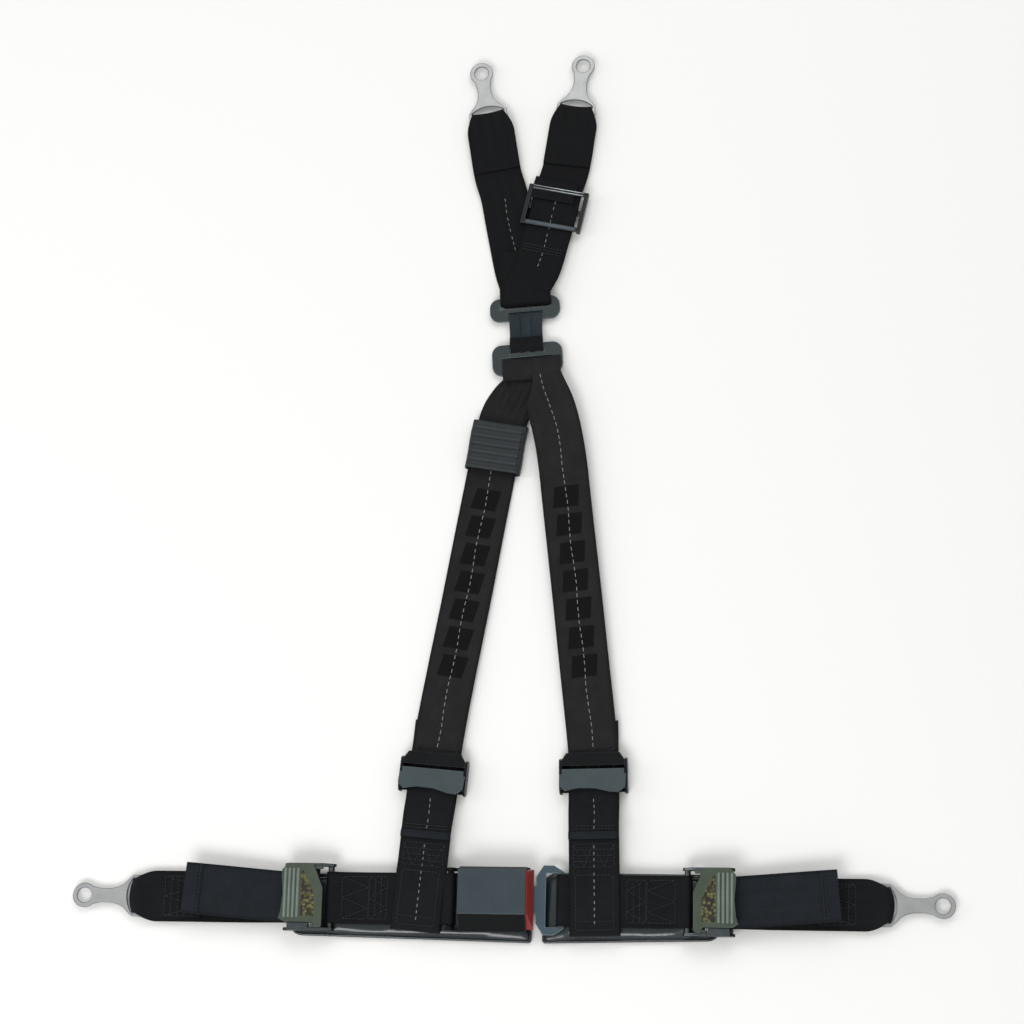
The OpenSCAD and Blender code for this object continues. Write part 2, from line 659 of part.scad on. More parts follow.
inner_webbing(1, tongue_bar_x, right_adjuster_x);  // right_inner_webbing
lap_pad(37, 208);  // right_lap_pad
lap_adjuster_frame(1, right_adjuster_x);  // right_lap_adjuster_frame
lap_lock_bar(1, right_adjuster_x);  // right_lap_lock_bar
lap_lever(1, right_adjuster_x);  // right_lap_lever
lap_grip(1, right_adjuster_x);  // right_lap_grip
lap_webbing(1, right_adjuster_x, lap_anchor_x);  // right_lap_webbing
lap_tail(1, right_adjuster_x, right_tail_x);  // right_lap_tail
lap_anchor(1, lap_anchor_x);  // right_lap_anchor

lower_strap(left_adjuster_at, left_lean, left_drop);  // left_lower_strap
shoulder_adjuster_frame(left_adjuster_at, left_lean);  // left_shoulder_adjuster_frame
shoulder_lock_bar(left_adjuster_at, left_lean);  // left_shoulder_lock_bar
shoulder_lever(left_adjuster_at, left_lean);  // left_shoulder_lever
left_shoulder_webbing();

lower_strap(right_adjuster_at, right_lean, right_drop);  // right_lower_strap
shoulder_adjuster_frame(right_adjuster_at, right_lean);  // right_shoulder_adjuster_frame
shoulder_lock_bar(right_adjuster_at, right_lean);  // right_shoulder_lock_bar
shoulder_lever(right_adjuster_at, right_lean);  // right_shoulder_lever
shoulder_webbing(right_adjuster_at, right_lean, right_belt, yoke_z + wide_loop_r + 2 * ply);  // right_shoulder_webbing

tear_webbing();
tear_webbing_cover();
lower_yoke_ring();
yoke_link();
upper_yoke_ring();
left_rear_webbing();
right_rear_webbing();
rear_slide();
rear_anchor(left_rear_anchor_at, left_rear_turn);  // left_rear_anchor
rear_anchor(right_rear_anchor_at, right_rear_turn);  // right_rear_anchor
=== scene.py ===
import bisect
import json
import math
import bmesh
import bpy
from mathutils import Matrix, Vector, noise


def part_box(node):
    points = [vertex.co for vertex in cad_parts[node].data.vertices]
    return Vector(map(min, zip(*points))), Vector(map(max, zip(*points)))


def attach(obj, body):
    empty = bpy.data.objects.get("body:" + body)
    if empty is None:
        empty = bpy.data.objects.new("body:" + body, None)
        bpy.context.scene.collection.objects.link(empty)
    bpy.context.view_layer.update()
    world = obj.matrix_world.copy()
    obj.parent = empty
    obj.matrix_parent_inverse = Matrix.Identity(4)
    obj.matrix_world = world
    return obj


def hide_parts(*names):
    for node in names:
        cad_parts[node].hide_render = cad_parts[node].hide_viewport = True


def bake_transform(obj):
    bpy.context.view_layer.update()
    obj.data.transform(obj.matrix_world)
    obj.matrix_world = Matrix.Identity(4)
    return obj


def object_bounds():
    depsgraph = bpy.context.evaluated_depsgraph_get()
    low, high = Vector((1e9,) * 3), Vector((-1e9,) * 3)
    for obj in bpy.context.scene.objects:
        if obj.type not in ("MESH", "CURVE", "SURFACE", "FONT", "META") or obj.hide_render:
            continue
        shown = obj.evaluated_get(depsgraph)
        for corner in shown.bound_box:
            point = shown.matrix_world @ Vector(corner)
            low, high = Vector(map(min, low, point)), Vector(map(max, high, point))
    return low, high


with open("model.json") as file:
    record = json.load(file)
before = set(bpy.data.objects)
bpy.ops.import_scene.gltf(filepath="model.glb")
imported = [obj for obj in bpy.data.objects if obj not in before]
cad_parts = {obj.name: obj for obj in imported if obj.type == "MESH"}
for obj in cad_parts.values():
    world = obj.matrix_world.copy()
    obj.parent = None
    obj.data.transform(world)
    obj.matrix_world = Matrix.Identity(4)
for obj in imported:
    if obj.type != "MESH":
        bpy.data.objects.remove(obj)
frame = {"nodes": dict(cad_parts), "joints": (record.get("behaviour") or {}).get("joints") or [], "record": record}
cad_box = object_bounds()

# ------------------------------------------------------------------ camera, floor and lights
# The harness is laid out on a pale studio floor and seen from almost straight above, with
# the camera leaning towards the lap belt. Two large softboxes and a strip light it evenly.


def linear(code):
    """Turns an sRGB hex colour into the linear colour that shaders use."""
    parts = [int(code[i:i + 2], 16) / 255 for i in (1, 3, 5)]
    return [c / 12.92 if c <= 0.04045 else ((c + 0.055) / 1.055) ** 2.4 for c in parts] + [1.0]


def add(material, kind, settings, inputs):
    """Adds a node with its settings; an input takes a value or another node's socket."""
    node = material.node_tree.nodes.new("ShaderNode" + kind)
    for key, value in settings.items():
        setattr(node, key, value)
    for key, value in inputs.items():
        if isinstance(value, bpy.types.NodeSocket):
            material.node_tree.links.new(value, node.inputs[key])
        else:
            node.inputs[key].default_value = value
    return node


def blank(name):
    """An empty material, ready for its nodes."""
    material = bpy.data.materials.new(name)
    material.use_nodes = True
    material.node_tree.nodes.clear()
    return material


def close(material, shader):
    """Joins the finished shader to the material's output."""
    add(material, "OutputMaterial", {}, {"Surface": shader.outputs["BSDF"]})
    return material


def make(name, points, faces, finish):
    """A mesh object from points and faces."""
    mesh = bpy.data.meshes.new(name)
    mesh.from_pydata(points, [], faces)
    mesh.materials.append(finish)
    piece = bpy.data.objects.new(name, mesh)
    bpy.context.scene.collection.objects.link(piece)
    return piece


def painted_floor():
    # matt white paint on board: rolled on, so only a trace of orange peel
    material = blank("matt_white_paint")
    place = add(material, "TexCoord", {}, {})
    peel = add(material, "TexNoise", {}, {"Vector": place.outputs["Object"], "Scale": 400.0})
    bump = add(material, "Bump", {}, {"Height": peel.outputs["Fac"], "Strength": 0.05})
    return close(material, add(material, "BsdfPrincipled", {}, {
        "Base Color": linear("#f6f6f4"), "Roughness": 0.9, "Normal": bump.outputs["Normal"]}))


floor_reach = 4.0
floor_z = cad_box[0].z - 0.0002
floor_corners = [(x * floor_reach, y * floor_reach, floor_z)
                 for x, y in ((-1, -1), (1, -1), (1, 1), (-1, 1))]
make("floor", floor_corners, [(0, 1, 2, 3)], painted_floor())

camera_data = bpy.data.cameras.new("camera")
camera_data.sensor_width = 36.0
camera_data.lens = 84.4
camera = bpy.data.objects.new("camera", camera_data)
aim = Vector((-0.0022, -0.0338, 0.003))
back = Vector((0.1261, -0.2470, 0.9608)).normalized()
right = Vector((0.9920, 0.0242, -0.1239))
right = (right - right.dot(back) * back).normalized()
camera.matrix_world = Matrix.Translation(aim + 2.4 * back) @ Matrix(
    (right, back.cross(right), back)).transposed().to_4x4()
bpy.context.scene.collection.objects.link(camera)
bpy.context.scene.camera = camera

softboxes = {
    "front_softbox": ((-0.5, -1.9, 2.0), 1.6, 1.0, 30.0),
    "rear_softbox": ((0.5, 1.5, 2.3), 2.4, 1.6, 24.0),
    "side_strip": ((-2.1, 0.1, 1.3), 0.5, 2.2, 12.0),
}
for name, (spot, width, depth, power) in softboxes.items():
    lamp_data = bpy.data.lights.new(name, "AREA")
    lamp_data.shape = "RECTANGLE"
    lamp_data.size = width
    lamp_data.size_y = depth
    lamp_data.energy = power
    lamp = bpy.data.objects.new(name, lamp_data)
    lamp.matrix_world = Matrix.Translation(spot) @ (
        Vector(spot).to_track_quat("Z", "Y").to_matrix().to_4x4())
    bpy.context.scene.collection.objects.link(lamp)
world = bpy.data.worlds.new("studio")
world.use_nodes = True
world.node_tree.nodes["Background"].inputs["Color"].default_value = linear("#ffffff")
world.node_tree.nodes["Background"].inputs["Strength"].default_value = 0.5
bpy.context.scene.world = world
bpy.context.scene.view_settings.view_transform = "Standard"

# ------------------------------------------------------------------ buckle
# A push-button buckle. The base is glass-filled nylon with the cross bar moulded in, the
# cover's top is a pressed steel plate with a stoved grey-blue finish over black moulded
# sides, and the button is red ABS. The grey-blue goes on every face of the cover that looks
# up: partly the steel plate, partly painted light from above. Springs, latch leaf, ejector
# and screws sit inside.

body_of = {node: body for body, members in frame["record"]["behaviour"]["bodies"].items()
           for node in members}


def steel(name, colour, rough, grain, peel=0.15):
    # rolled or drawn steel: dark, fine grain along the sheet and a soft broken reflection
    material = blank(name)
    place = add(material, "TexCoord", {}, {})
    brushed = add(material, "Mapping", {}, {
        "Vector": place.outputs["Object"], "Scale": (grain, 60.0, grain)})
    lines = add(material, "TexNoise", {}, {
        "Vector": brushed.outputs["Vector"], "Scale": 4.0, "Detail": 6.0})
    cloud = add(material, "TexNoise", {}, {
        "Vector": place.outputs["Object"], "Scale": 90.0, "Detail": 4.0})
    tone = add(material, "Mix", {"data_type": "RGBA"}, {
        0: cloud.outputs["Fac"], 6: linear(colour[0]), 7: linear(colour[1])})
    dull = add(material, "MapRange", {}, {
        "Value": lines.outputs["Fac"], "To Min": rough - 0.08, "To Max": rough + 0.12})
    bump = add(material, "Bump", {}, {
        "Height": lines.outputs["Fac"], "Strength": peel, "Distance": 0.0003})
    return close(material, add(material, "BsdfPrincipled", {}, {
        "Base Color": tone.outputs[2], "Metallic": 1.0, "Roughness": dull.outputs["Result"],
        "Normal": bump.outputs["Normal"]}))


def stoved(name, colours, rough, coat=0.2, metallic=0.0, grit=900.0, shine=0.35):
    # stoved paint or powder on steel: fine orange peel, slightly uneven in tone, soft gloss
    material = blank(name)
    place = add(material, "TexCoord", {}, {})
    peel = add(material, "TexNoise", {}, {
        "Vector": place.outputs["Object"], "Scale": grit, "Detail": 3.0})
    cloud = add(material, "TexNoise", {}, {
        "Vector": place.outputs["Object"], "Scale": 55.0, "Detail": 5.0, "Roughness": 0.65})
    tone = add(material, "Mix", {"data_type": "RGBA"}, {
        0: cloud.outputs["Fac"], 6: linear(colours[0]), 7: linear(colours[1])})
    dull = add(material, "MapRange", {}, {
        "Value": cloud.outputs["Fac"], "To Min": rough - 0.07, "To Max": rough + 0.1})
    bump = add(material, "Bump", {}, {
        "Height": peel.outputs["Fac"], "Strength": 0.12, "Distance": 0.0004})
    return close(material, add(material, "BsdfPrincipled", {}, {
        "Base Color": tone.outputs[2], "Metallic": metallic, "Roughness": dull.outputs["Result"],
        "Coat Weight": coat, "Coat Roughness": 0.2, "IOR": 1.5, "Specular IOR Level": shine,
        "Normal": bump.outputs["Normal"]}))


def moulded(name, colours, rough, grit=1500.0, depth=0.0002, shine=0.5):
    # moulded plastic: the spark-eroded tool leaves a fine even grain, a little shiny on top
    material = blank(name)
    place = add(material, "TexCoord", {}, {})
    grain = add(material, "TexVoronoi", {}, {
        "Vector": place.outputs["Object"], "Scale": grit})
    cloud = add(material, "TexNoise", {}, {
        "Vector": place.outputs["Object"], "Scale": 120.0, "Detail": 4.0})
    tone = add(material, "Mix", {"data_type": "RGBA"}, {
        0: cloud.outputs["Fac"], 6: linear(colours[0]), 7: linear(colours[1])})
    dull = add(material, "MapRange", {}, {
        "Value": cloud.outputs["Fac"], "To Min": rough - 0.06, "To Max": rough + 0.08})
    bump = add(material, "Bump", {}, {
        "Height": grain.outputs["Distance"], "Strength": 0.25, "Distance": depth})
    return close(material, add(material, "BsdfPrincipled", {}, {
        "Base Color": tone.outputs[2], "Roughness": dull.outputs["Result"], "IOR": 1.53,
        "Specular IOR Level": shine, "Normal": bump.outputs["Normal"]}))


def refine(node, finish, edge, worn=None, lid_and_lit_top=None):
    """Copies a CAD piece and rounds its edges by edge metres. Faces that look up may take a
    lighter top finish, painted light from above, and the rounded edges a second finish:
    rubbed paint on some pieces, a painted highlight along the edges of others, and painted
    shade along the anchor plates' edges."""
    mesh = frame["nodes"][node].data.copy()
    work = bmesh.new()
    work.from_mesh(mesh)
    bmesh.ops.remove_doubles(work, verts=work.verts, dist=2e-5)
    bmesh.ops.dissolve_limit(work, angle_limit=math.radians(1.5), verts=work.verts,
                             edges=work.edges)
    work.normal_update()
    for face in work.faces:
        face.smooth = True
        # faces that look up take the lighter top finish: painted light from above
        face.material_index = 1 if lid_and_lit_top and face.normal.z > 0.8 else 0
    mesh.materials.clear()
    for material in (finish, lid_and_lit_top or finish, worn or finish):
        mesh.materials.append(material)
    work.to_mesh(mesh)
    work.free()
    mesh.set_sharp_from_angle(angle=math.radians(35))
    piece = bpy.data.objects.new(node + "_finished", mesh)
    bpy.context.scene.collection.objects.link(piece)
    bevel = piece.modifiers.new("rounded_edges", "BEVEL")
    bevel.width = edge
    bevel.segments = 3
    bevel.limit_method = "ANGLE"
    bevel.angle_limit = math.radians(35)
    bevel.harden_normals = True
    bevel.material = 2 if worn else -1
    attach(piece, body_of[node])
    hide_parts(node)
    return piece


def repaint(node, finish):
    """Gives a CAD piece that keeps its shape a better material."""
    for own in frame["nodes"][node].material_slots:
        own.material = finish


black_nylon = moulded("glass_filled_nylon", ("#050607", "#0d0f11"), 0.5, shine=0.12)
# grey-blue for the cover's up-facing faces: partly the steel plate's stove finish, partly painted light from above
lid_and_lit_top_finish = stoved("stoved_grey_blue_and_lit_top", ("#2b363d", "#364349"), 0.38)
lid_edge = stoved("stoved_grey_blue_rubbed", ("#424f56", "#5a676d"), 0.36)
red_abs = moulded("red_abs", ("#7c2723", "#8f3029"), 0.42, shine=0.3)
spring_steel = steel("drawn_spring_steel", ("#9a9ea2", "#b9bdc0"), 0.3, 900.0)
zinc_screw = steel("zinc_plated_screw", ("#a9abac", "#c6c8c8"), 0.35, 700.0)

refine("buckle_base", black_nylon, 0.0005)
refine("buckle_cover", black_nylon, 0.0011, lid_edge, lid_and_lit_top_finish)
refine("release_button", red_abs, 0.0007)
refine("ejector", black_nylon, 0.0003)
for node in ("button_springs", "ejector_spring", "latch_leaf"):
    repaint(node, spring_steel)
repaint("buckle_screws", zinc_screw)

# ------------------------------------------------------------------ tongue
# A plate stamped from 3 mm steel and tumbled, then stoved grey-blue: the blade goes into
# the buckle and the wide slot takes the doubled lap webbing.

tongue_finish = stoved("stoved_tongue", ("#364650", "#435561"), 0.36)
tongue_worn = stoved("stoved_tongue_rubbed", ("#5c6b74", "#76838a"), 0.3)
refine("tongue", tongue_finish, 0.0009, tongue_worn)

# ------------------------------------------------------------------ lap pads
# Foam slabs in coated black-green vinyl, heat-formed to a crown, with a welted edge that is
# sewn all round. The lap belt, adjuster and buckle lie on top of them.


def coated_vinyl():
    # PVC on knitted cloth: calendered leather grain with a wet-looking gloss
    material = blank("coated_vinyl")
    place = add(material, "TexCoord", {}, {})
    grain = add(material, "TexVoronoi", {"feature": "DISTANCE_TO_EDGE"}, {
        "Vector": place.outputs["Object"], "Scale": 620.0, "Randomness": 0.9})
    soft = add(material, "TexNoise", {}, {
        "Vector": place.outputs["Object"], "Scale": 38.0, "Detail": 5.0})
    tone = add(material, "Mix", {"data_type": "RGBA"}, {
        0: soft.outputs["Fac"], 6: linear("#10171a"), 7: linear("#222e32")})
    dull = add(material, "MapRange", {}, {
        "Value": soft.outputs["Fac"], "To Min": 0.2, "To Max": 0.36})
    fine = add(material, "Bump", {}, {
        "Height": grain.outputs["Distance"], "Strength": 0.2, "Distance": 0.0004})
    broad = add(material, "Bump", {}, {
        "Height": soft.outputs["Fac"], "Strength": 0.25, "Distance": 0.002,
        "Normal": fine.outputs["Normal"]})
    return close(material, add(material, "BsdfPrincipled", {}, {
        "Base Color": tone.outputs[2], "Roughness": dull.outputs["Result"], "IOR": 1.52,
        "Coat Weight": 0.4, "Coat Roughness": 0.12, "Normal": broad.outputs["Normal"]}))


def pad_outline(low, high, droop):
    """The pad's cut seen from above: round corners, one drawn to a point, a front edge that
    rises towards the far end and, on the left pad, a rear edge drawn in under the belt."""
    corner = 0.012
    rise = 0.0045
    drawn_in = 0 if droop > 0 else 0.0035
    buckle_end = low.x if droop > 0 else high.x
    points = []
    for cx, cy, start in ((high.x, high.y, 0), (low.x, high.y, 90), (low.x, low.y, 180),
                          (high.x, low.y, 270)):
        sx = -1 if cx == high.x else 1
        sy = -1 if cy == high.y else 1
        pointed = cx == buckle_end and cy == low.y
        for k in range(7):
            a = math.radians(start + 15 * k)
            r = 0.002 if pointed else corner
            x, y = cx + sx * r + r * math.cos(a), cy + sy * r + r * math.sin(a)
            away = abs(x - buckle_end) / (high.x - low.x)
            y += rise * away if cy == low.y else -drawn_in * away
            points.append((x, y))
    return points


def rope(name, path, radius, finish):
    """A round bead of given radius along a closed path."""
    sides = 10
    count = len(path)
    points = []
    for i, p in enumerate(path):
        ahead = (path[(i + 1) % count] - path[i - 1]).normalized()
        out = ahead.cross(Vector((0, 0, 1))).normalized()
        points += [p + radius * (math.cos(a) * out + math.sin(a) * Vector((0, 0, 1)))
                   for a in (math.tau * k / sides for k in range(sides))]
    faces = [(i * sides + k, i * sides + (k + 1) % sides,
              (i + 1) % count * sides + (k + 1) % sides, (i + 1) % count * sides + k)
             for i in range(count) for k in range(sides)]
    bead = make(name, points, [f[::-1] for f in faces], finish)
    bead.data.polygons.foreach_set("use_smooth", [True] * len(bead.data.polygons))
    return bead


def lap_pad(node, droop, vinyl):
    """Swells a slab to a foam pad, keeps it under the belt, and adds the welt round it."""
    low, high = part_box(node)
    low, high = Vector(low), Vector(high)
    inset = 0.0022
    cut = pad_outline(low + Vector((inset, inset, 0)), high - Vector((inset, inset, 0)), droop)
    slab = [(x, y, z) for z in (0.0014, 0.0066) for x, y in cut]
    count = len(cut)
    faces = [list(range(count))[::-1], list(range(count, 2 * count))]
    faces += [(k, (k + 1) % count, count + (k + 1) % count, count + k) for k in range(count)]
    pad = make(node + "_foam", slab, faces, vinyl)
    bpy.context.view_layer.objects.active = pad
    remesh = pad.modifiers.new("remesh", "REMESH")
    remesh.mode = "VOXEL"
    remesh.voxel_size = 0.003
    bpy.ops.object.modifier_apply(modifier=remesh.name)
    rest = [v.co.copy() for v in pad.data.vertices]
    cloth = pad.modifiers.new("swell", "CLOTH")
    cloth.settings.use_pressure = True
    cloth.settings.uniform_pressure_force = 4
    cloth.settings.effector_weights.gravity = 0
    for step in range(1, 21):
        bpy.context.scene.frame_set(step)
    bpy.ops.object.modifier_apply(modifier=cloth.name)
    bpy.context.scene.frame_set(1)
    swell = 0.004
    sideways = 0.15
    for vertex, start in zip(pad.data.vertices, rest):
        move = vertex.co - start
        if move.length > swell:
            move = move.normalized() * swell
        vertex.co = start + Vector((move.x * sideways, move.y * sideways, move.z))
        wave = noise.noise(start * 26) * 0.0007
        vertex.co.z = min(max(vertex.co.z + wave, 0.0002), high.z + 0.0002)
    pad.data.polygons.foreach_set("use_smooth", [True] * len(pad.data.polygons))
    pad.modifiers.new("smooth", "SUBSURF").levels = 1
    pad.modifiers["smooth"].render_levels = 1
    bpy.ops.object.modifier_apply(modifier="smooth")
    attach(pad, body_of[node])
    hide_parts(node)
    edge = pad_outline(low + Vector((0.0014, 0.0014, 0)), high - Vector((0.0014, 0.0014, 0)),
                       droop)
    welt = rope(node + "_welt", [Vector((x, y, 0.0034)) for x, y in edge], 0.0015, vinyl)
    seat = [(x, y, z) for z in (0.0026, 0.0042) for x, y in edge]
    flange = make(node + "_flange", seat, faces, vinyl)
    for part in (welt, flange):
        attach(part, body_of[node])


pad_vinyl = coated_vinyl()
lap_pad("left_lap_pad", -1, pad_vinyl)
lap_pad("right_lap_pad", 1, pad_vinyl)

# ------------------------------------------------------------------ inner lap webbing
# 2 inch polyester webbing, doubled round the buckle's bar or the tongue's and the inner bar
# of the adjuster, and sewn down with a boxed W of bonded nylon thread.

PLY = 0.0014
WEB = 0.049


def woven(name, ground, raised, rough=0.62, sheen=0.03):
    # polyester webbing: a lengthwise herringbone of 2 mm ribs, drawn a little coarser than
    # the real 1.2 mm so that it shows, dull with a faint sheen along the yarns
    material = blank(name)
    rib = 0.0021
    place = add(material, "UVMap", {}, {})
    split = add(material, "SeparateXYZ", {}, {"Vector": place.outputs["UV"]})
    fold = add(material, "Math", {"operation": "PINGPONG"}, {0: split.outputs["X"], 1: 0.006125})
    slant = add(material, "Math", {"operation": "ADD"}, {
        0: split.outputs["Y"], 1: fold.outputs[0]})
    turns = add(material, "Math", {"operation": "MULTIPLY"}, {
        0: slant.outputs[0], 1: math.tau / rib})
    twill = add(material, "Math", {"operation": "SINE"}, {0: turns.outputs[0]})
    ends = add(material, "Math", {"operation": "MULTIPLY"}, {
        0: split.outputs["X"], 1: math.tau / (rib * 0.7)})
    warp = add(material, "Math", {"operation": "SINE"}, {0: ends.outputs[0]})
    weave = add(material, "Math", {"operation": "MULTIPLY_ADD"}, {
        0: warp.outputs[0], 1: 0.45, 2: twill.outputs[0]})
    height = add(material, "MapRange", {}, {
        "Value": weave.outputs[0], "From Min": -1.45, "From Max": 1.45})
    where = add(material, "TexCoord", {}, {})
    cloud = add(material, "TexNoise", {}, {
        "Vector": where.outputs["UV"], "Scale": 34.0, "Detail": 6.0, "Roughness": 0.7})
    across = add(material, "Math", {"operation": "ABSOLUTE"}, {0: split.outputs["X"]})
    # darker towards both edges of the belt: painted shade along its rounded edges
    edge_shade = add(material, "MapRange", {}, {
        "Value": across.outputs[0], "From Min": 0.0208, "From Max": 0.0244,
        "To Min": 0.0, "To Max": -0.5})
    mottle = add(material, "MapRange", {}, {
        "Value": cloud.outputs["Fac"], "From Min": 0.3, "From Max": 0.75,
        "To Min": -0.15, "To Max": 0.35})
    blend = add(material, "Math", {"operation": "MULTIPLY_ADD"}, {
        0: height.outputs["Result"], 1: 0.45, 2: mottle.outputs["Result"]})
    share = add(material, "Math", {"operation": "ADD", "use_clamp": True}, {
        0: blend.outputs[0], 1: edge_shade.outputs["Result"]})
    tone = add(material, "Mix", {"data_type": "RGBA"}, {
        0: share.outputs[0], 6: linear(ground), 7: linear(raised)})
    dull = add(material, "MapRange", {}, {
        "Value": cloud.outputs["Fac"], "To Min": rough - 0.08, "To Max": rough + 0.12})
    bump = add(material, "Bump", {}, {
        "Height": height.outputs["Result"], "Strength": 0.7, "Distance": 0.0005})
    return close(material, add(material, "BsdfPrincipled", {}, {
        "Base Color": tone.outputs[2], "Roughness": dull.outputs["Result"], "IOR": 1.5,
        "Specular IOR Level": 0.15, "Sheen Weight": sheen, "Sheen Roughness": 0.4,
        "Sheen Tint": linear("#8f98a2"),
        "Normal": bump.outputs["Normal"]}))


def thread(name, dark, light):
    # bonded filament thread: twisted plies catch the light as fine slanting lines
    material = blank(name)
    place = add(material, "TexCoord", {}, {})
    twist = add(material, "TexWave", {"bands_direction": "DIAGONAL"}, {
        "Vector": place.outputs["Object"], "Scale": 900.0, "Distortion": 0.5})
    tone = add(material, "Mix", {"data_type": "RGBA"}, {
        0: twist.outputs["Fac"], 6: linear(dark), 7: linear(light)})
    return close(material, add(material, "BsdfPrincipled", {}, {
        "Base Color": tone.outputs[2], "Roughness": 0.45, "IOR": 1.53,
        "Specular IOR Level": 0.3}))


def smooth(line, step):
    """A smooth curve through (point, side) pairs, with a station every step or closer."""
    last = len(line) - 1
    ahead = [(line[min(i + 1, last)][0] - line[max(i - 1, 0)][0]).normalized()
             for i in range(last + 1)]
    stations = []
    for i in range(last):
        (p, s), (q, t) = line[i], line[i + 1]
        span = (q - p).length
        parts = max(1, math.ceil(span / step))
        for k in range(parts):
            f = k / parts
            g = 1 - f
            point = ((1 + 2 * f) * g * g * p + f * f * (3 - 2 * f) * q
                     + f * g * g * span * ahead[i] - f * f * g * span * ahead[i + 1])
            stations.append((point, s.lerp(t, f)))
    return stations + [line[last]]


def even(width):
    """The same width all along: its reach to the left and to the right of the middle."""
    return lambda along: (width / 2, width / 2)


def ripple(size, seed):
    """The small unevenness of webbing that has been worn and folded."""
    return lambda along, across: size * noise.noise(Vector((along * 21, across * 16, seed)))


def lay(line, width, lift=None, step=0.003):
    """Works out a belt's stations: run, point, side and upper face's direction."""
    stations = smooth(line, step)
    last = len(stations) - 1
    rows = []
    run = 0.0
    for i, (point, side) in enumerate(stations):
        if i:
            run += (point - stations[i - 1][0]).length
        ahead = (stations[min(i + 1, last)][0] - stations[max(i - 1, 0)][0]).normalized()
        side = (side - side.dot(ahead) * ahead).normalized()
        rows.append((run, point, side, side.cross(ahead)))
    return {"rows": rows, "runs": [r[0] for r in rows], "length": run,
            "width": width if callable(width) else even(width),
            "lift": lift or (lambda along, across: 0.0)}


def on_belt(belt, along, across, height):
    """The point at a run along the belt, a distance across it, and a height off its middle."""
    rows = belt["rows"]
    i = min(max(bisect.bisect_left(belt["runs"], along), 1), len(rows) - 1)
    (r0, p0, s0, u0), (r1, p1, s1, u1) = rows[i - 1], rows[i]
    f = min(max((along - r0) / max(r1 - r0, 1e-9), 0), 1)
    up = u0.lerp(u1, f).normalized()
    return (p0.lerp(p1, f) + s0.lerp(s1, f) * across
            + up * (height + belt["lift"](along, across))), up


def webbing(name, belt, finish, body, thick=PLY, strips=12):
    """Weaves the belt's solid: flat faces in so many strips, and round selvedges."""
    shape = [(-1, 0.3), (-0.988, 0.75), (-0.965, 1)]
    shape += [(-0.9 + 1.8 * k / strips, 1) for k in range(strips + 1)]
    shape += [(0.965, 1), (0.988, 0.75), (1, 0.3)]
    count = len(shape)
    points, map_to = [], []
    for run, point, side, up in belt["rows"]:
        left, right = belt["width"](run)
        rows = [(left * t if t < 0 else right * t, thick / 2 * h) for t, h in shape]
        for across, height in rows + [(a, -h) for a, h in rows[::-1]]:
            points.append(point + side * across + up * (height + belt["lift"](run, across)))
            map_to.append((across, run))
    ring = 2 * count
    faces = [(i * ring + k, i * ring + (k + 1) % ring, (i + 1) * ring + (k + 1) % ring,
              (i + 1) * ring + k) for i in range(len(belt["rows"]) - 1) for k in range(ring)]
    end = (len(belt["rows"]) - 1) * ring
    for k in range(count - 1):
        faces.append((k + 1, k, ring - 1 - k, ring - 2 - k))
        faces.append((end + k, end + k + 1, end + ring - 2 - k, end + ring - 1 - k))
    piece = make(name, points, faces, finish)
    own = piece.data.uv_layers.new(name="webbing")
    for loop in piece.data.loops:
        own.data[loop.index].uv = map_to[loop.vertex_index]
    piece.data.polygons.foreach_set("use_smooth", [True] * len(piece.data.polygons))
    piece.data.set_sharp_from_angle(angle=math.radians(50))
    if body:
        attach(piece, body)
    return piece


def sew(name, belt, runs, finish, body, pitch=0.0034, stitch=0.0029, radius=0.00055,
        face=1):
    """Stitches along runs of (along, across) points on the belt's upper or lower face."""
    sides = 5
    rings = [(0, -1.2), (0.12, 0.5), (0.5, 0.9), (0.88, 0.5), (1, -1.2)]
    points, faces = [], []
    for path in runs:
        for (a0, c0), (a1, c1) in zip(path, path[1:]):
            length = math.hypot(a1 - a0, c1 - c0)
            for k in range(int(length / pitch)):
                first = (k * pitch + 0.2 * pitch) / length
                share = stitch / length
                base = len(points)
                ends = []
                for f, h in rings:
                    g = first + share * f
                    ends.append(on_belt(belt, a0 + (a1 - a0) * g, c0 + (c1 - c0) * g,
                                        face * (PLY / 2 + radius * h)))
                flow = (ends[-1][0] - ends[0][0]).normalized()
                for centre, up in ends:
                    beside = flow.cross(up).normalized()
                    points += [centre + radius * (math.cos(t) * beside + math.sin(t) * up)
                               for t in (math.tau * s / sides for s in range(sides))]
                for ring in range(len(rings) - 1):
                    start = base + ring * sides
                    faces += [(start + s, start + (s + 1) % sides,
                               start + sides + (s + 1) % sides, start + sides + s)
                              for s in range(sides)]
                faces.append([base + s for s in range(sides)][::-1])
                faces.append([base + (len(rings) - 1) * sides + s for s in range(sides)])
    seam = make(name, points, faces, finish)
    seam.data.polygons.foreach_set("use_smooth", [True] * len(seam.data.polygons))
    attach(seam, body)
    return seam


def boxed_w(start, stop, half, rows=0):
    """A stitched box from start to stop along the belt, with a W and cross rows in it."""
    middle = [(start + (stop - start) * (k % 2), -half + half * k / 2) for k in range(5)]
    box = [(start, -half), (start, half), (stop, half), (stop, -half), (start, -half)]
    cross = [[(start + (stop - start) * (k + 1) / (rows + 1), -half),
              (start + (stop - start) * (k + 1) / (rows + 1), half)] for k in range(rows)]
    return [box, middle] + cross


def arc(centre, ahead, radius, start, stop, count=13):
    """Points round a bar; angles run from ahead towards straight up."""
    return [centre + radius * (math.cos(a) * ahead + math.sin(a) * Vector((0, 0, 1)))
            for a in (math.radians(start + (stop - start) * k / (count - 1))
                      for k in range(count))]


joint_at = {j["name"]: Vector(j["pos_m"]) for j in frame["joints"] if j.get("pos_m")}
Z = Vector((0, 0, 1))
lap_web = woven("woven_polyester_lap", "#050607", "#171a1f")
black_thread = thread("bonded_nylon_thread", "#050607", "#2b3035")
bar_turn = 0.0040


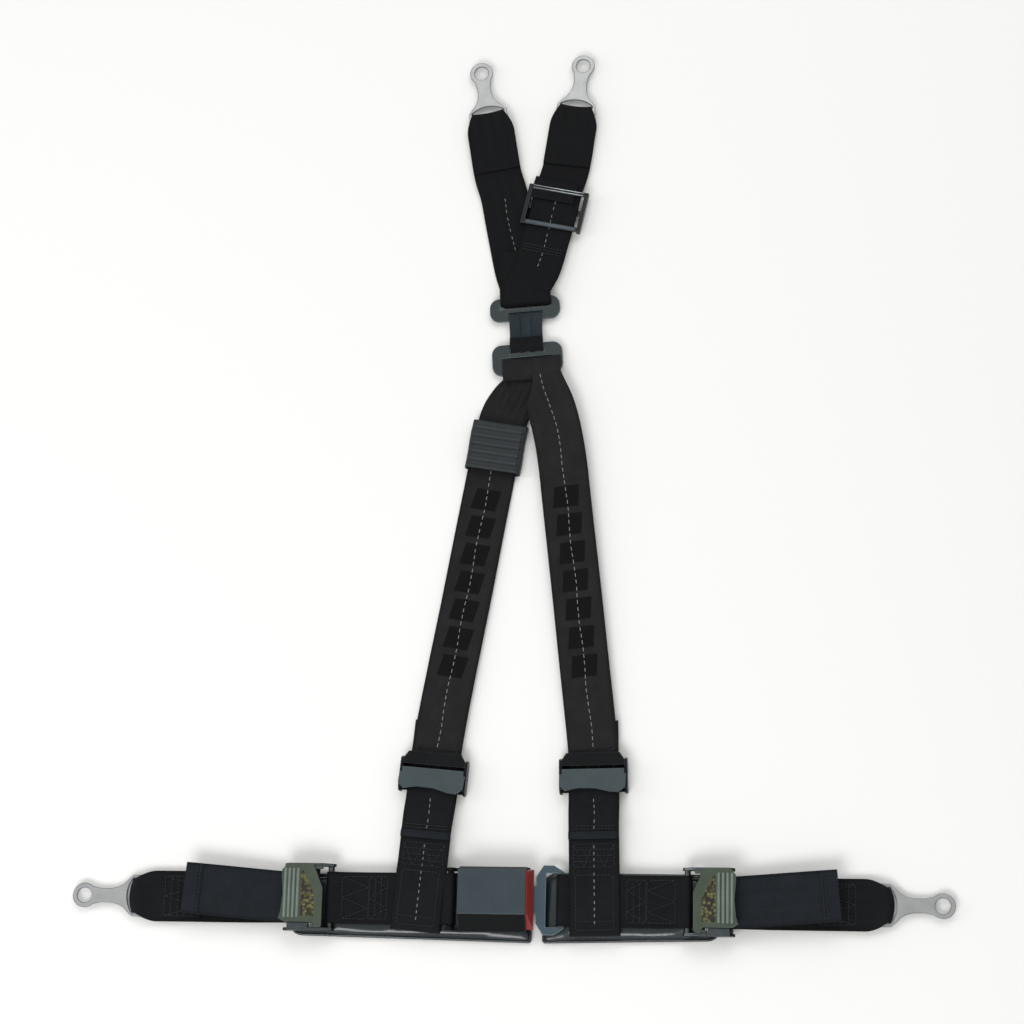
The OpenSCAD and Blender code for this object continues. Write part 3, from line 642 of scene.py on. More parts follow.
def inner_lap(side, near, far):
    """Closed band round the bar at near and the bar at far, drawn together between them."""
    out = Vector((side, 0, 0))
    name = "left" if side < 0 else "right"
    middle = near.lerp(far, 0.5)
    lower = -0.00075 * Z
    points = [middle + lower, far - out * 0.014 + lower]
    points += arc(far, out, bar_turn, -105, 105)
    points += [far - out * 0.014 - lower, middle - lower, near + out * 0.014 - lower]
    points += arc(near, out, bar_turn, 75, 285)
    points += [near + out * 0.014 + lower, middle + lower - out * 0.001]
    line = [(p, Vector((0, side, 0))) for p in points]
    belt = lay(line, WEB, ripple(0.00025, side))
    body = body_of[name + "_inner_webbing"]
    band = webbing(name + "_inner_lap_band", belt, lap_web, body)
    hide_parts(name + "_inner_webbing")
    return belt


def run_near(belt, spot):
    """The run at which the belt passes nearest to a spot."""
    return min(belt["rows"], key=lambda row: (row[1] - spot).length)[0]


def middle(node, axis, at):
    """The middle of a CAD piece's section where its coordinate along axis is at."""
    mesh = frame["nodes"][node].data
    cut = []
    for edge in mesh.edges:
        a, b = (mesh.vertices[i].co for i in edge.vertices)
        if (a[axis] - at) * (b[axis] - at) < 0:
            cut.append(a.lerp(b, (at - a[axis]) / (b[axis] - a[axis])))
    return Vector([(min(p[k] for p in cut) + max(p[k] for p in cut)) / 2 for k in range(3)])


tongue_high = Vector(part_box("tongue")[1])
lap_bar = {-1: joint_at["left_lap_fold"], 1: joint_at["right_lap_fold"]}
buckle_low = Vector(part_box("buckle_base")[0])
inner_bar = {-1: Vector((buckle_low.x + 0.0046, lap_bar[-1].y, lap_bar[-1].z)),
             1: Vector((tongue_high.x - 0.0029, lap_bar[1].y, lap_bar[1].z))}
inner = {}
for side, name in ((-1, "left"), (1, "right")):
    belt = inner_lap(side, inner_bar[side], lap_bar[side])
    inner[side] = belt
    out = Vector((side, 0, 0))
    far = run_near(belt, lap_bar[side] - out * 0.012 + Z * 0.001)
    near = run_near(belt, lap_bar[side] - out * 0.056 + Z * 0.001)
    runs = boxed_w(far, (far + near) / 2 + 0.004, 0.020)
    runs += boxed_w((far + near) / 2 + 0.005, near, 0.020, 2)
    sew(name + "_inner_lap_seam", belt, runs, black_thread, body_of[name + "_inner_webbing"])

# ------------------------------------------------------------------ lap adjusters
# Tilt-lock adjusters: a bent steel frame in blued finish, a ground and polished lock bar,
# a cast lever painted grey-green with finger ridges, and an olive grained rubber inset.

blued_frame = stoved("blued_steel_frame", ("#040506", "#0a0d0f"), 0.38, 0.05, 0.0, shine=0.18)
# bare steel on the rounded edges of the black lap adjuster frames: partly rubbed steel, partly painted glints
# along the edges; it also paints two thin glint lines on the rear slide
glint_and_rubbed_steel = steel("bare_steel_rub_and_painted_glint", ("#8d9396", "#b3b8ba"), 0.24, 500.0)
polished_bar = steel("polished_lock_bar", ("#b9bdbf", "#dadddd"), 0.16, 1200.0, 0.05)
lever_paint = stoved("grey_green_enamel", ("#323c32", "#485445"), 0.4, 0.25, 0.0, 700.0)
# lighter grey-green for the levers' rounded edges and finger ridges: partly rubbed enamel, partly painted
# highlights along them
lever_rub_and_highlight = stoved("grey_green_enamel_rub_and_painted_highlight", ("#56625a", "#7b8a80"), 0.34)


def half_round(name, start, stop, radius, finish, body):
    """A bar with a half-round top that stands on its flat underside from start to stop."""
    ahead = (stop - start).normalized()
    beside = ahead.cross(Vector((0, 0, 1))).normalized()
    sides = 9
    points = []
    for spot, share in ((start, 0.55), (start + ahead * radius, 1), (stop - ahead * radius, 1),
                        (stop, 0.55)):
        points += [spot + share * radius * (math.cos(a) * beside + math.sin(a) * Vector((0, 0, 1)))
                   for a in (math.pi * k / (sides - 1) for k in range(sides))]
    faces = [(i * sides + k, i * sides + (k + 1) % sides,
              (i + 1) * sides + (k + 1) % sides, (i + 1) * sides + k)
             for i in range(3) for k in range(sides)]
    faces += [list(range(sides))[::-1], [3 * sides + k for k in range(sides)]]
    bar = make(name, points, faces, finish)
    bar.data.polygons.foreach_set("use_smooth", [True] * len(bar.data.polygons))
    bar.data.set_sharp_from_angle(angle=math.radians(50))
    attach(bar, body)


def grained_rubber():
    # moulded rubber inset: deep pebble grain with shiny tops and dusty olive hollows
    material = blank("olive_grained_rubber")
    place = add(material, "TexCoord", {}, {})
    pebble = add(material, "TexVoronoi", {"feature": "SMOOTH_F1"}, {
        "Vector": place.outputs["Object"], "Scale": 300.0, "Smoothness": 0.3})
    sharp = add(material, "MapRange", {}, {
        "Value": pebble.outputs["Distance"], "From Min": 0.2, "From Max": 0.62})
    patch = add(material, "TexNoise", {}, {
        "Vector": place.outputs["Object"], "Scale": 170.0, "Detail": 5.0})
    tone = add(material, "Mix", {"data_type": "RGBA"}, {
        0: sharp.outputs["Result"], 6: linear("#6a6930"), 7: linear("#0a0c04")})
    worn = add(material, "MapRange", {}, {
        "Value": patch.outputs["Fac"], "From Min": 0.45, "From Max": 0.7})
    mixed = add(material, "Mix", {"data_type": "RGBA"}, {
        0: worn.outputs["Result"], 6: tone.outputs[2], 7: linear("#17190a")})
    bump = add(material, "Bump", {}, {
        "Height": pebble.outputs["Distance"], "Strength": 0.8, "Distance": 0.0006})
    return close(material, add(material, "BsdfPrincipled", {}, {
        "Base Color": mixed.outputs[2], "Roughness": 0.45, "IOR": 1.52,
        "Normal": bump.outputs["Normal"]}))


olive_rubber = grained_rubber()
# lighter olive on the grip insets' rounded rims: a painted highlight along the rim
olive_edge_highlight = moulded("olive_rubber_painted_edge_highlight", ("#55572c", "#74754a"), 0.4)
# near-black enamel for a thin line along the lever: painted shade in its groove
groove_shade = stoved("painted_groove_shade", ("#121813", "#1e261e"), 0.6, 0.0)
# lighter steel for every face of the lap adjuster frames that looks up: a painted highlight of light from above
frame_top_highlight = stoved("blued_steel_top_painted_highlight", ("#3b4144", "#5c6265"), 0.26, 0.2, 0.6)
ridge_count = 4
ridge_step = 0.0041
for side, name in ((-1, "left"), (1, "right")):
    # the frame's rounded edges take the bright steel as painted glints, partly rubbed steel
    refine(name + "_lap_adjuster_frame", blued_frame, 0.0006, glint_and_rubbed_steel,
           frame_top_highlight)
    out = Vector((side, 0, 0))
    top = Vector((lap_bar[side].x, lap_bar[side].y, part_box(name + "_lap_lever")[1][2] - 0.0011))
    lever_body = body_of[name + "_lap_lever"]
    # a thin dark bead along the lever: painted shade in the groove
    half_round(name + "_lever_groove", top + out * 0.0370 + Vector((0, -0.0195, -0.0004)),
               top + out * 0.0370 + Vector((0, 0.0262, -0.0004)), 0.0002, groove_shade,
               lever_body)
    # the finger ridges take the lighter enamel: painted highlights along them, partly rubbed paint
    for k in range(ridge_count):
        spot = top + out * (0.0300 + ridge_step * k)
        half_round(f"{name}_lever_ridge_{k}", spot + Vector((0, -0.0205, 0)),
                   spot + Vector((0, 0.0270, 0)), 0.0015, lever_rub_and_highlight, lever_body)
    refine(name + "_lap_lever", lever_paint, 0.0007, lever_rub_and_highlight)
    refine(name + "_lap_grip", olive_rubber, 0.0004, olive_edge_highlight)
    refine(name + "_lap_lock_bar", polished_bar, 0.0008)

# ------------------------------------------------------------------ outer lap webbing, tails
# One length of webbing: from the sewn loop on the anchor plate it runs in along the ground,
# round the lock bar and out again as the free tail, which ends in a folded and sewn hem.


def tapered(length, nose, reach):
    """Full width, drawn in to nose over the last reach before each end run in length."""
    def width(along):
        away = min(abs(along - at) for at in length)
        share = min(max((away - 0.005) / reach, 0), 1)
        half = (nose + (WEB - nose) * math.sin(share * math.pi / 2)) / 2
        return half, half
    return width


def crowned(small, turn):
    """Bows the fold outwards in the middle of the anchor plate's bar."""
    def lift(along, across):
        bow = 1 - (across / (0.5 * nose)) ** 2
        return small(along, across) + 0.0034 * bow * math.exp(-((along - turn) / 0.0042) ** 2)
    return lift


# a lighter, bluer copy of the lap webbing: the free tails, one length with the lap bands, are drawn in it, and on
# the lower straps' rolled hems it is a painted highlight along the ridge
tail_and_roll_highlight_web = woven("woven_polyester_tail", "#0f1317", "#272d35")
nose = 0.033
anchor_turn = 0.0048
lock_ahead = 0.019
lock_lift = 0.002
for side, name in ((-1, "left"), (1, "right")):
    out = Vector((side, 0, 0))
    bar = lap_bar[side]
    lock = bar + out * lock_ahead + Z * lock_lift
    eye = joint_at[name + "_lap_anchor_swing"]
    across = Vector((0, side, 0))
    points = arc(lock, out, bar_turn, 90, 270)
    points += [lock + out * 0.012 - Z * 0.0041, lock + out * 0.028 - Z * 0.0043,
               bar + out * 0.060 - Z * 0.0042, bar + out * 0.085 - Z * 0.0078,
               eye - out * 0.064 - Z * 0.0008, eye - out * 0.022 - Z * 0.0009]
    points += arc(eye, out, anchor_turn, -100, 100)
    points += [eye - out * 0.014 + Z * 0.0014, eye - out * 0.030 + Z * 0.0008,
               eye - out * 0.064 + Z * 0.0008]
    line = [(p, across) for p in points]
    belt = lay(line, WEB, ripple(0.0002, 3 + side))
    turn = run_near(belt, eye + out * anchor_turn)
    belt["width"] = tapered([turn], nose, 0.022)
    belt["lift"] = crowned(belt["lift"], turn)
    body = body_of[name + "_lap_webbing"]
    band = webbing(name + "_outer_lap_band", belt, lap_web, body)
    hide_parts(name + "_lap_webbing")
    start = run_near(belt, eye - out * 0.026 + Z * 0.0008)
    stop = run_near(belt, eye - out * 0.060 + Z * 0.0008)
    sew(name + "_anchor_seam", belt, boxed_w(start, stop, 0.019, 4), black_thread, body)

    tail_body = body_of[name + "_lap_tail"]
    hinge = joint_at[name + "_tail_lift"]
    low, high = (Vector(c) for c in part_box(name + "_lap_tail"))
    end_x = high.x if side > 0 else low.x
    tip = middle(name + "_lap_tail", 0, end_x - side * 0.006)
    flat = Vector((tip.x - hinge.x, tip.y - hinge.y, 0)).normalized()
    askew = Z.cross(flat)
    points = [(lock + Z * bar_turn, Vector((0, side, 0))),
              (lock + out * 0.012 + Z * 0.0036, Vector((0, side, 0))),
              (hinge + Z * 0.0002 - out * 0.004, Vector((0, side, 0)))]
    run = Vector((tip.x, tip.y, hinge.z)) - hinge
    for share in (0.2, 0.45, 0.7, 0.9, 1.055):
        lift = 0.0047 * share + 0.0012 * math.sin(share * math.pi)
        points.append((hinge + run * share + Z * lift, askew))
    points = [(p, -s if s.cross(run).z < 0 else s) for p, s in points]
    tail = lay(points, WEB, ripple(0.0004, 7 + side))
    free = webbing(name + "_tail_band", tail, tail_and_roll_highlight_web, None)
    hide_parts(name + "_lap_tail")
    hem = lay([(point + up * 0.00135, across) for along, point, across, up in tail["rows"]
               if along > tail["length"] - 0.017], 0.0484)
    fold = webbing(name + "_tail_hem", hem, tail_and_roll_highlight_web, tail_body)
    sew(name + "_tail_hem_seam", hem, [[(0.002, -0.0225), (0.002, 0.0225)],
        [(0.005, 0.0225), (0.005, -0.0225)]], black_thread, tail_body)
    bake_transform(free)

# ------------------------------------------------------------------ anchor plates
# Stamped from 3 mm steel with a punched eye and a slot for the webbing, edges tumbled and
# bright zinc plated.

zinc_plate = steel("bright_zinc_plate", ("#9c9e9e", "#bdbfbf"), 0.46, 160.0, 0.08)
# darker zinc on the plates' rounded edges: painted shade along the edges
zinc_rim_shade = steel("zinc_rim_painted_shade", ("#6f7274", "#94979a"), 0.34, 160.0, 0.08)
for name in ("left_lap_anchor", "right_lap_anchor", "left_rear_anchor", "right_rear_anchor"):
    refine(name, zinc_plate, 0.0007, zinc_rim_shade)

# ------------------------------------------------------------------ lower shoulder straps
# Each strap is sewn into a sleeve round the lap belt, runs up to the adjuster, turns round
# its lock bar and comes back on top as a short hemmed tail. A white tracer is woven in.

tracer = thread("white_tracer_yarn", "#6f7478", "#a9adb1")
strap_web = woven("woven_polyester_strap", "#070809", "#1b1e21")


def shoulder_place(name):
    """Middle of the adjuster's top bar, the direction across it and the one up the belt."""
    joint = next(j for j in frame["joints"] if j["name"] == name + "_shoulder_lever_lift")
    across = -Vector(joint["axis"])
    up_belt = Z.cross(across)
    return Vector(joint["pos_m"]) + up_belt * 0.0085 - Z * 0.0045, across, up_belt


def tracer_run(start, stop, wander=0.0):
    """The tracer's line down the middle of a belt."""
    leg = 0.02
    steps = max(1, int(abs(stop - start) / leg))
    return [(start + (stop - start) * k / steps, wander * math.sin(k * 1.7))
            for k in range(steps + 1)]


for side, name, drop in ((-1, "left", 0.132), (1, "right", 0.1348)):
    top, across, up_belt = shoulder_place(name)
    lap_z = lap_bar[side].z

    def at(v, z):
        return top + up_belt * v + Z * (z - top.z)

    lock = at(-0.019, top.z)
    half = WEB / 2 + 0.0042
    points = [at(-0.074, lap_z + 0.0026), at(-0.068, lap_z + 0.0022), at(-0.050, lap_z + 0.0016),
              at(-0.036, top.z + 0.0046)]
    points += arc(lock, up_belt, bar_turn, 95, -95)
    points += [at(-0.031, top.z - 0.0040), at(-0.042, top.z - 0.0015),
               at(-0.060, lap_z - 0.0010), at(-0.070, lap_z + 0.0007),
               at(half - drop + 0.006, lap_z + 0.0008), at(half - drop - 0.002, lap_z + 0.0025)]
    points += [at(-half - drop + 0.001, lap_z + 0.0025)]
    points += arc(at(-half - drop + 0.001, lap_z), -up_belt, 0.0025, 60, -60, 7)
    points += [at(-half - drop + 0.001, lap_z - 0.0025), at(half - drop - 0.002, lap_z - 0.0025),
               at(half - drop + 0.006, lap_z - 0.0008), at(-0.070, lap_z - 0.0008)]
    belt = lay([(p, across) for p in points], WEB - 0.0006, ripple(0.0003, 11 + side))
    body = body_of[name + "_lower_strap"]
    band = webbing(name + "_lower_strap_band", belt, strap_web, body)
    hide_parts(name + "_lower_strap")
    sleeve_top = run_near(belt, at(half - drop - 0.003, lap_z + 0.0025))
    sleeve_low = run_near(belt, at(-half - drop + 0.004, lap_z + 0.0025))
    join = run_near(belt, at(-0.078, lap_z + 0.0008))
    join_end = run_near(belt, at(-0.100, lap_z + 0.0008))
    tail_low = run_near(belt, at(-0.072, lap_z + 0.0025))
    tail_top = run_near(belt, at(-0.030, top.z + 0.0046))
    body_runs = boxed_w(join, join_end, 0.0195, 3)
    body_runs += [[(sleeve_top, -0.018), (sleeve_top, 0.018), (sleeve_low, 0.018),
                   (sleeve_low, -0.018), (sleeve_top, -0.018)],
                  [(sleeve_low - 0.008, -0.018), (sleeve_low - 0.008, 0.018)]]
    sew(name + "_lower_strap_seam", belt, body_runs, black_thread, body,
        face=-1)
    sew(name + "_lower_strap_hem", belt, [[(tail_low + 0.008, -0.021), (tail_low + 0.008, 0.021)],
        [(tail_low + 0.011, 0.021), (tail_low + 0.011, -0.021)]], black_thread, body)
    # the rolled hem takes the lighter tail webbing: a painted highlight along the ridge
    roll = lay([(on_belt(belt, tail_low + step, 0, lift)[0], across)
                for step, lift in ((-0.0015, 0.0010), (0.0015, 0.0019), (0.0055, 0.0012))],
               WEB - 0.0002, ripple(0.0005, 41 + side), 0.001)
    webbing(name + "_lower_strap_roll", roll, tail_and_roll_highlight_web, body)
    sew(name + "_lower_strap_tracer", belt, [tracer_run(join, sleeve_low - 0.002)],
        tracer, body, 0.0062, 0.0030, 0.00042, face=-1)
    sew(name + "_strap_tail_tracer", belt, [tracer_run(tail_low, tail_top, 0.001)],
        tracer, body, 0.0062, 0.0036, 0.00034)

# ------------------------------------------------------------------ shoulder adjusters
# A bent and blued steel frame with a polished lock bar; the lever is pressed steel in a
# grey-green stove finish with a wavy thumb edge.

band_paint = stoved("stoved_grey_green", ("#303b3d", "#414e51"), 0.4)
band_edge = stoved("stoved_grey_green_rubbed", ("#4c595c", "#67747a"), 0.34)
# lighter blued steel on the rounded edges of the shoulder adjuster frames and the rear slide: partly rubbed steel,
# partly painted thin highlights along the edges
blued_rub_and_highlight = stoved("blued_steel_rub_and_painted_highlight", ("#1b2124", "#333c40"), 0.36, 0.1)
for name in ("left", "right"):
    refine(name + "_shoulder_adjuster_frame", blued_frame, 0.0006, blued_rub_and_highlight)
    refine(name + "_shoulder_lever", band_paint, 0.0007, band_edge)
    refine(name + "_shoulder_lock_bar", polished_bar, 0.0008)

# ------------------------------------------------------------------ main shoulder belts
# Charcoal webbing with a dashed white tracer and seven screen-printed blocks on each belt.
# Each is sewn round the adjuster's top bar and round the lower bar of the yoke's ring.

shoulder_web = woven("woven_polyester_shoulder", "#141415", "#2f2f31", 0.65)


def printed_ink():
    # screen ink on webbing: flat black film that the ribs still show through
    material = blank("screen_printed_ink")
    place = add(material, "TexCoord", {}, {})
    film = add(material, "TexNoise", {}, {
        "Vector": place.outputs["Object"], "Scale": 300.0, "Detail": 6.0})
    tone = add(material, "Mix", {"data_type": "RGBA"}, {
        0: film.outputs["Fac"], 6: linear("#020202"), 7: linear("#0b0b0c")})
    bump = add(material, "Bump", {}, {
        "Height": film.outputs["Fac"], "Strength": 0.4, "Distance": 0.0003})
    return close(material, add(material, "BsdfPrincipled", {}, {
        "Base Color": tone.outputs[2], "Roughness": 0.75, "IOR": 1.5,
        "Specular IOR Level": 0.15,
        "Normal": bump.outputs["Normal"]}))


def printed_block(points, faces, belt, along, half_long, half_wide, slant):
    """Adds one slanted block of ink film, let into the belt's upper face."""
    steps = 6
    base = len(points)
    for height in (PLY / 2 + 0.00012, PLY / 2 - 0.0003):
        for i in range(steps + 1):
            for k in range(steps + 1):
                a = along + half_long * (2 * i / steps - 1)
                c = half_wide * (2 * k / steps - 1) + slant * (2 * i / steps - 1)
                points.append(on_belt(belt, a, c, height)[0])
    row = steps + 1
    under = row * row
    for i in range(steps):
        for k in range(steps):
            q = base + i * row + k
            faces.append((q, q + 1, q + row + 1, q + row))
            faces.append((q + under + row, q + under + row + 1, q + under + 1, q + under))
    rim = [k for k in range(steps)] + [steps + i * row for i in range(steps)]
    rim += [under - 1 - k for k in range(steps)] + [(steps - i) * row for i in range(steps)]
    for a, b in zip(rim, rim[1:] + rim[:1]):
        faces.append((base + b, base + a, base + a + under, base + b + under))


ink = printed_ink()
yoke_joint = next(j for j in frame["joints"] if j["name"] == "link_fold")
yoke_across = Vector(yoke_joint["axis"]).normalized()
yoke_up = Z.cross(yoke_across)
ring_turn = 0.0046
ring_low_bar = Vector(yoke_joint["pos_m"]) - yoke_up * 0.0263
for side, name in ((-1, "left"), (1, "right")):
    node = name + "_shoulder_webbing"
    body = body_of[node]
    top, across, up_belt = shoulder_place(name)
    heights = [-0.235 + 0.0275 * k for k in range(12)]
    spine = [middle(node, 1, y) for y in heights]
    points = [top + up_belt * 0.042 - Z * 0.0009, top + up_belt * 0.012 - Z * 0.0010]
    points += arc(top, -up_belt, bar_turn, -105, 105)
    points += [top + up_belt * 0.012 + Z * 0.0008]
    line = [(p, across) for p in points]
    for i, p in enumerate(spine):
        ahead = spine[min(i + 1, len(spine) - 1)] - spine[max(i - 1, 0)]
        line.append((p, ahead.cross(Z).normalized()))
    crossing = ring_low_bar + yoke_across * (-0.0062 if side < 0 else 0.0125)
    if side < 0:
        line.append((crossing - yoke_up * 0.012 - Z * 0.0043, yoke_across))
        line.append((crossing - Z * 0.0044, yoke_across))
        line += [(p, yoke_across) for p in arc(crossing + yoke_up * 0.0095, yoke_up, 0.0042,
                                               -90, 90)]
        line += [(crossing + Z * 0.0045, yoke_across),
                 (crossing - yoke_up * 0.0045 + Z * 0.0038, yoke_across),
                 (crossing - yoke_up * 0.0085 + Z * 0.0006, yoke_across)]
    else:
        line.append((crossing - yoke_up * 0.008 + Z * 0.0058, yoke_across))
        line.append((crossing + Z * 0.0062, yoke_across))
        line += [(p, yoke_across) for p in arc(crossing + yoke_up * 0.008, yoke_up,
                                               ring_turn + 0.0012, 88, -40)]
    belt = lay(line, WEB, ripple(0.00035, 21 + side))
    ring_run = run_near(belt, crossing + Z * ring_turn * side)

    def reach(along, side=side, ring_run=ring_run):
        near = min(max((ring_run - along) / 0.045, 0), 1)
        near = near * near * (3 - 2 * near)
        if side < 0:
            return 0.0195 + 0.005 * near, 0.0215 + 0.003 * near
        return 0.006 + 0.0185 * near, 0.0215 + 0.003 * near

    def gathers(along, across, side=side, ring_run=ring_run, small=ripple(0.00035, 21 + side)):
        near = math.exp(-((along - ring_run + 0.028) / 0.018) ** 2)
        pleat = 0.0011 if side < 0 else 0.0003
        return small(along, across) + near * pleat * math.sin(across * 820 + along * 60)

    belt["width"] = reach
    belt["lift"] = gathers
    band = webbing(name + "_shoulder_band", belt, shoulder_web, body,
                   strips=30)
    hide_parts(node)
    hem_top = run_near(belt, top + up_belt * 0.040 + Z * 0.0008)
    hem_low = run_near(belt, top + up_belt * 0.014 + Z * 0.0008)
    runs = boxed_w(hem_low, (hem_low + hem_top) / 2, 0.020)
    runs += boxed_w((hem_low + hem_top) / 2 + 0.001, hem_top, 0.020, 3)
    sew(name + "_shoulder_seam", belt, runs, black_thread, body)
    under_cover = run_near(belt, middle(node, 1, 0.032))
    end = under_cover if side < 0 else ring_run - 0.004
    sew(name + "_shoulder_tracer", belt, [tracer_run(hem_low, end, 0.0008)], tracer, body,
        0.0066, 0.0042, 0.00036)
    block_points, block_faces = [], []
    first = run_near(belt, middle(node, 1, -0.191))
    for k in range(7):
        printed_block(block_points, block_faces, belt, first + 0.0287 * k, 0.0108, 0.0125,
                      0.0015)
    blocks = make(name + "_printed_blocks", block_points, block_faces, ink)
    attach(blocks, body)

# ------------------------------------------------------------------ tear webbing and cover
# A short zigzag of webbing whose seams rip to soften a crash, under a sleeve of coated
# cloth quilted in ribs and sewn down its side.


def coated_cloth():
    # polyurethane-coated nylon: a fine plain weave that still shows, satin where it is rubbed
    material = blank("coated_nylon_cloth")
    place = add(material, "TexCoord", {}, {})
    weave = add(material, "TexVoronoi", {}, {"Vector": place.outputs["Object"], "Scale": 1300.0})
    cloud = add(material, "TexNoise", {}, {
        "Vector": place.outputs["Object"], "Scale": 80.0, "Detail": 5.0})
    tone = add(material, "Mix", {"data_type": "RGBA"}, {
        0: cloud.outputs["Fac"], 6: linear("#12171a"), 7: linear("#252d30")})
    dull = add(material, "MapRange", {}, {
        "Value": cloud.outputs["Fac"], "To Min": 0.4, "To Max": 0.58})
    bump = add(material, "Bump", {}, {
        "Height": weave.outputs["Distance"], "Strength": 0.3, "Distance": 0.0003})
    return close(material, add(material, "BsdfPrincipled", {}, {
        "Base Color": tone.outputs[2], "Roughness": dull.outputs["Result"], "IOR": 1.5,
        "Specular IOR Level": 0.35, "Normal": bump.outputs["Normal"]}))


def tear_folds():
    """The belt's zigzag, three layers deep, that its seams hold until they rip."""
    low, high = (Vector(c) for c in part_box("tear_webbing"))
    centre = (low + high) / 2
    level = (high.z - low.z - PLY) / 2
    fold = 0.0155
    line = []
    for k in range(3):
        ends = (-fold, fold) if k % 2 == 0 else (fold, -fold)
        line += [(Vector((centre.x, centre.y, low.z + PLY / 2 + level * k)) + cover_along * v,
                  cover_across) for v in ends]
    belt = lay(line, WEB - 0.001, ripple(0.0001, 51), 0.0015)
    band = webbing("tear_webbing_folds", belt, shoulder_web, body_of["tear_webbing"])
    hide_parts("tear_webbing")


def tear_sleeve():
    """A soft rectangular sleeve with ribs across its top and rounded long edges."""
    low, high = (Vector(c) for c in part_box("tear_webbing_cover"))
    centre = (low + high) / 2
    along, across = cover_along, cover_across
    long, wide, skin = 0.050, 0.056, 0.0013
    outline = []
    corner = 0.0035
    top, bottom = high.z - 0.0006, 0.0004
    for cx, cz, start in ((1, 1, 0), (-1, 1, 90), (-1, -1, 180), (1, -1, 270)):
        for k in range(5):
            a = math.radians(start + 22.5 * k)
            x = cx * (wide / 2 - corner) + corner * math.cos(a)
            z = (top if cz > 0 else bottom) - cz * corner + corner * math.sin(a)
            outline.append((x, z, math.cos(a), math.sin(a)))
    filled = []
    for i, point in enumerate(outline):
        after = outline[(i + 1) % len(outline)]
        parts = max(1, round(math.hypot(after[0] - point[0], after[1] - point[1]) / 0.0035))
        for k in range(parts):
            f = k / parts
            filled.append(tuple(a + (b - a) * f for a, b in zip(point, after)))
    rows = 64
    points = []
    for layer in (0, 1):
        for i in range(rows + 1):
            share = i / rows
            rib = abs(math.sin(share * math.pi * 6)) ** 0.6
            sag = 0.0006 * math.sin(share * math.pi * 2.3)
            for x, z, nx, nz in filled:
                crown = 0.0019 * (rib - 0.75) if nz > 0.3 and z > 0.008 else 0
                dish = -0.0009 * math.cos(x / wide * math.pi) if z > 0.008 else 0
                inward = skin if layer else 0
                points.append(centre + along * (share - 0.5) * long
                              + across * (x - nx * inward + sag * 0.5)
                              + Z * (z + crown + dish - nz * inward - centre.z))
    ring = len(filled)
    under = ring * (rows + 1)
    faces = []
    for i in range(rows):
        for k in range(ring):
            q, r = i * ring + k, i * ring + (k + 1) % ring
            faces.append((q, r, r + ring, q + ring))
            faces.append((under + r, under + q, under + q + ring, under + r + ring))
    for k in range(ring):
        r = (k + 1) % ring
        faces.append((r, k, under + k, under + r))
        e = rows * ring
        faces.append((e + k, e + r, under + e + r, under + e + k))
    sleeve = make("tear_sleeve", points, [f[::-1] for f in faces], cover_cloth)
    sleeve.data.polygons.foreach_set("use_smooth", [True] * len(sleeve.data.polygons))
    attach(sleeve, body_of["tear_webbing_cover"])
    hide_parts("tear_webbing_cover")
    seam_line = [(centre + along * (v - 0.5) * (long - 0.002) + across * (wide / 2 - 0.004)
                  + Z * (top + 0.0001 - centre.z - PLY / 2), across) for v in (0, 0.5, 1)]
    seam = lay(seam_line, 0.01)
    sew("tear_sleeve_seam", seam, [[(0, 0), (seam["length"], 0)]], black_thread,
        body_of["tear_webbing_cover"])


cover_cloth = coated_cloth()
cover_turn = math.radians(-9)
cover_along = Vector((-math.sin(cover_turn), math.cos(cover_turn), 0))
cover_across = Vector((math.cos(cover_turn), math.sin(cover_turn), 0))
tear_folds()
tear_sleeve()

# ------------------------------------------------------------------ yoke
# Two three-bar rings stamped from 3 mm steel and stoved grey-green, joined by a link of
# narrower webbing with three heavy lengthwise ribs, folded and sewn on itself.

ring_paint = stoved("stoved_ring_enamel", ("#1e2728", "#2b3536"), 0.44, 0.1)
ring_edge = stoved("stoved_ring_enamel_rubbed", ("#39464a", "#505e60"), 0.38, 0.1)
refine("lower_yoke_ring", ring_paint, 0.0008, ring_edge)
refine("upper_yoke_ring", ring_paint, 0.0008, ring_edge)

link_web = woven("woven_polyester_link", "#141b1f", "#3c4a52", 0.5)
link_low = Vector(yoke_joint["pos_m"])
link_high = joint_at["upper_ring_fold"]
link_mid = link_low.lerp(link_high, 0.5)
points = [link_mid - Z * 0.00075, link_high - yoke_up * 0.013 - Z * 0.00075]
points += arc(link_high, yoke_up, ring_turn, -105, 105)
points += [link_high - yoke_up * 0.013 + Z * 0.00075, link_low + yoke_up * 0.013 + Z * 0.00075]
points += arc(link_low, yoke_up, ring_turn, 75, 285)
points += [link_low + yoke_up * 0.013 - Z * 0.00075, link_mid - Z * 0.00075 - yoke_up * 0.001]


def heavy_ribs(along, across):
    """Two deep valleys that part the link into three ribs."""
    return 0.0016 * (abs(math.cos(across * math.pi / 0.0113)) ** 0.45 - 0.85)


link_belt = lay([(p, yoke_across) for p in points], 0.033, heavy_ribs)
link_band = webbing("link_band", link_belt, link_web, body_of["yoke_link"],
                    strips=45)
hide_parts("yoke_link")
# thick matt black thread laid almost end to end in the link's two valleys: the stitching, and painted shade in the
# valleys
thread_and_valley_shade = thread("black_thread_and_painted_valley_shade", "#010101", "#050607")
low_row = run_near(link_belt, link_low + yoke_up * 0.009 + Z * 0.001)
high_row = run_near(link_belt, link_high - yoke_up * 0.005 + Z * 0.001)
sew("link_valley_seams", link_belt, [[(high_row, valley), (low_row, valley)]
    for valley in (-0.00565, 0.00565)], thread_and_valley_shade, body_of["yoke_link"],
    0.0030, 0.0028, 0.0009)
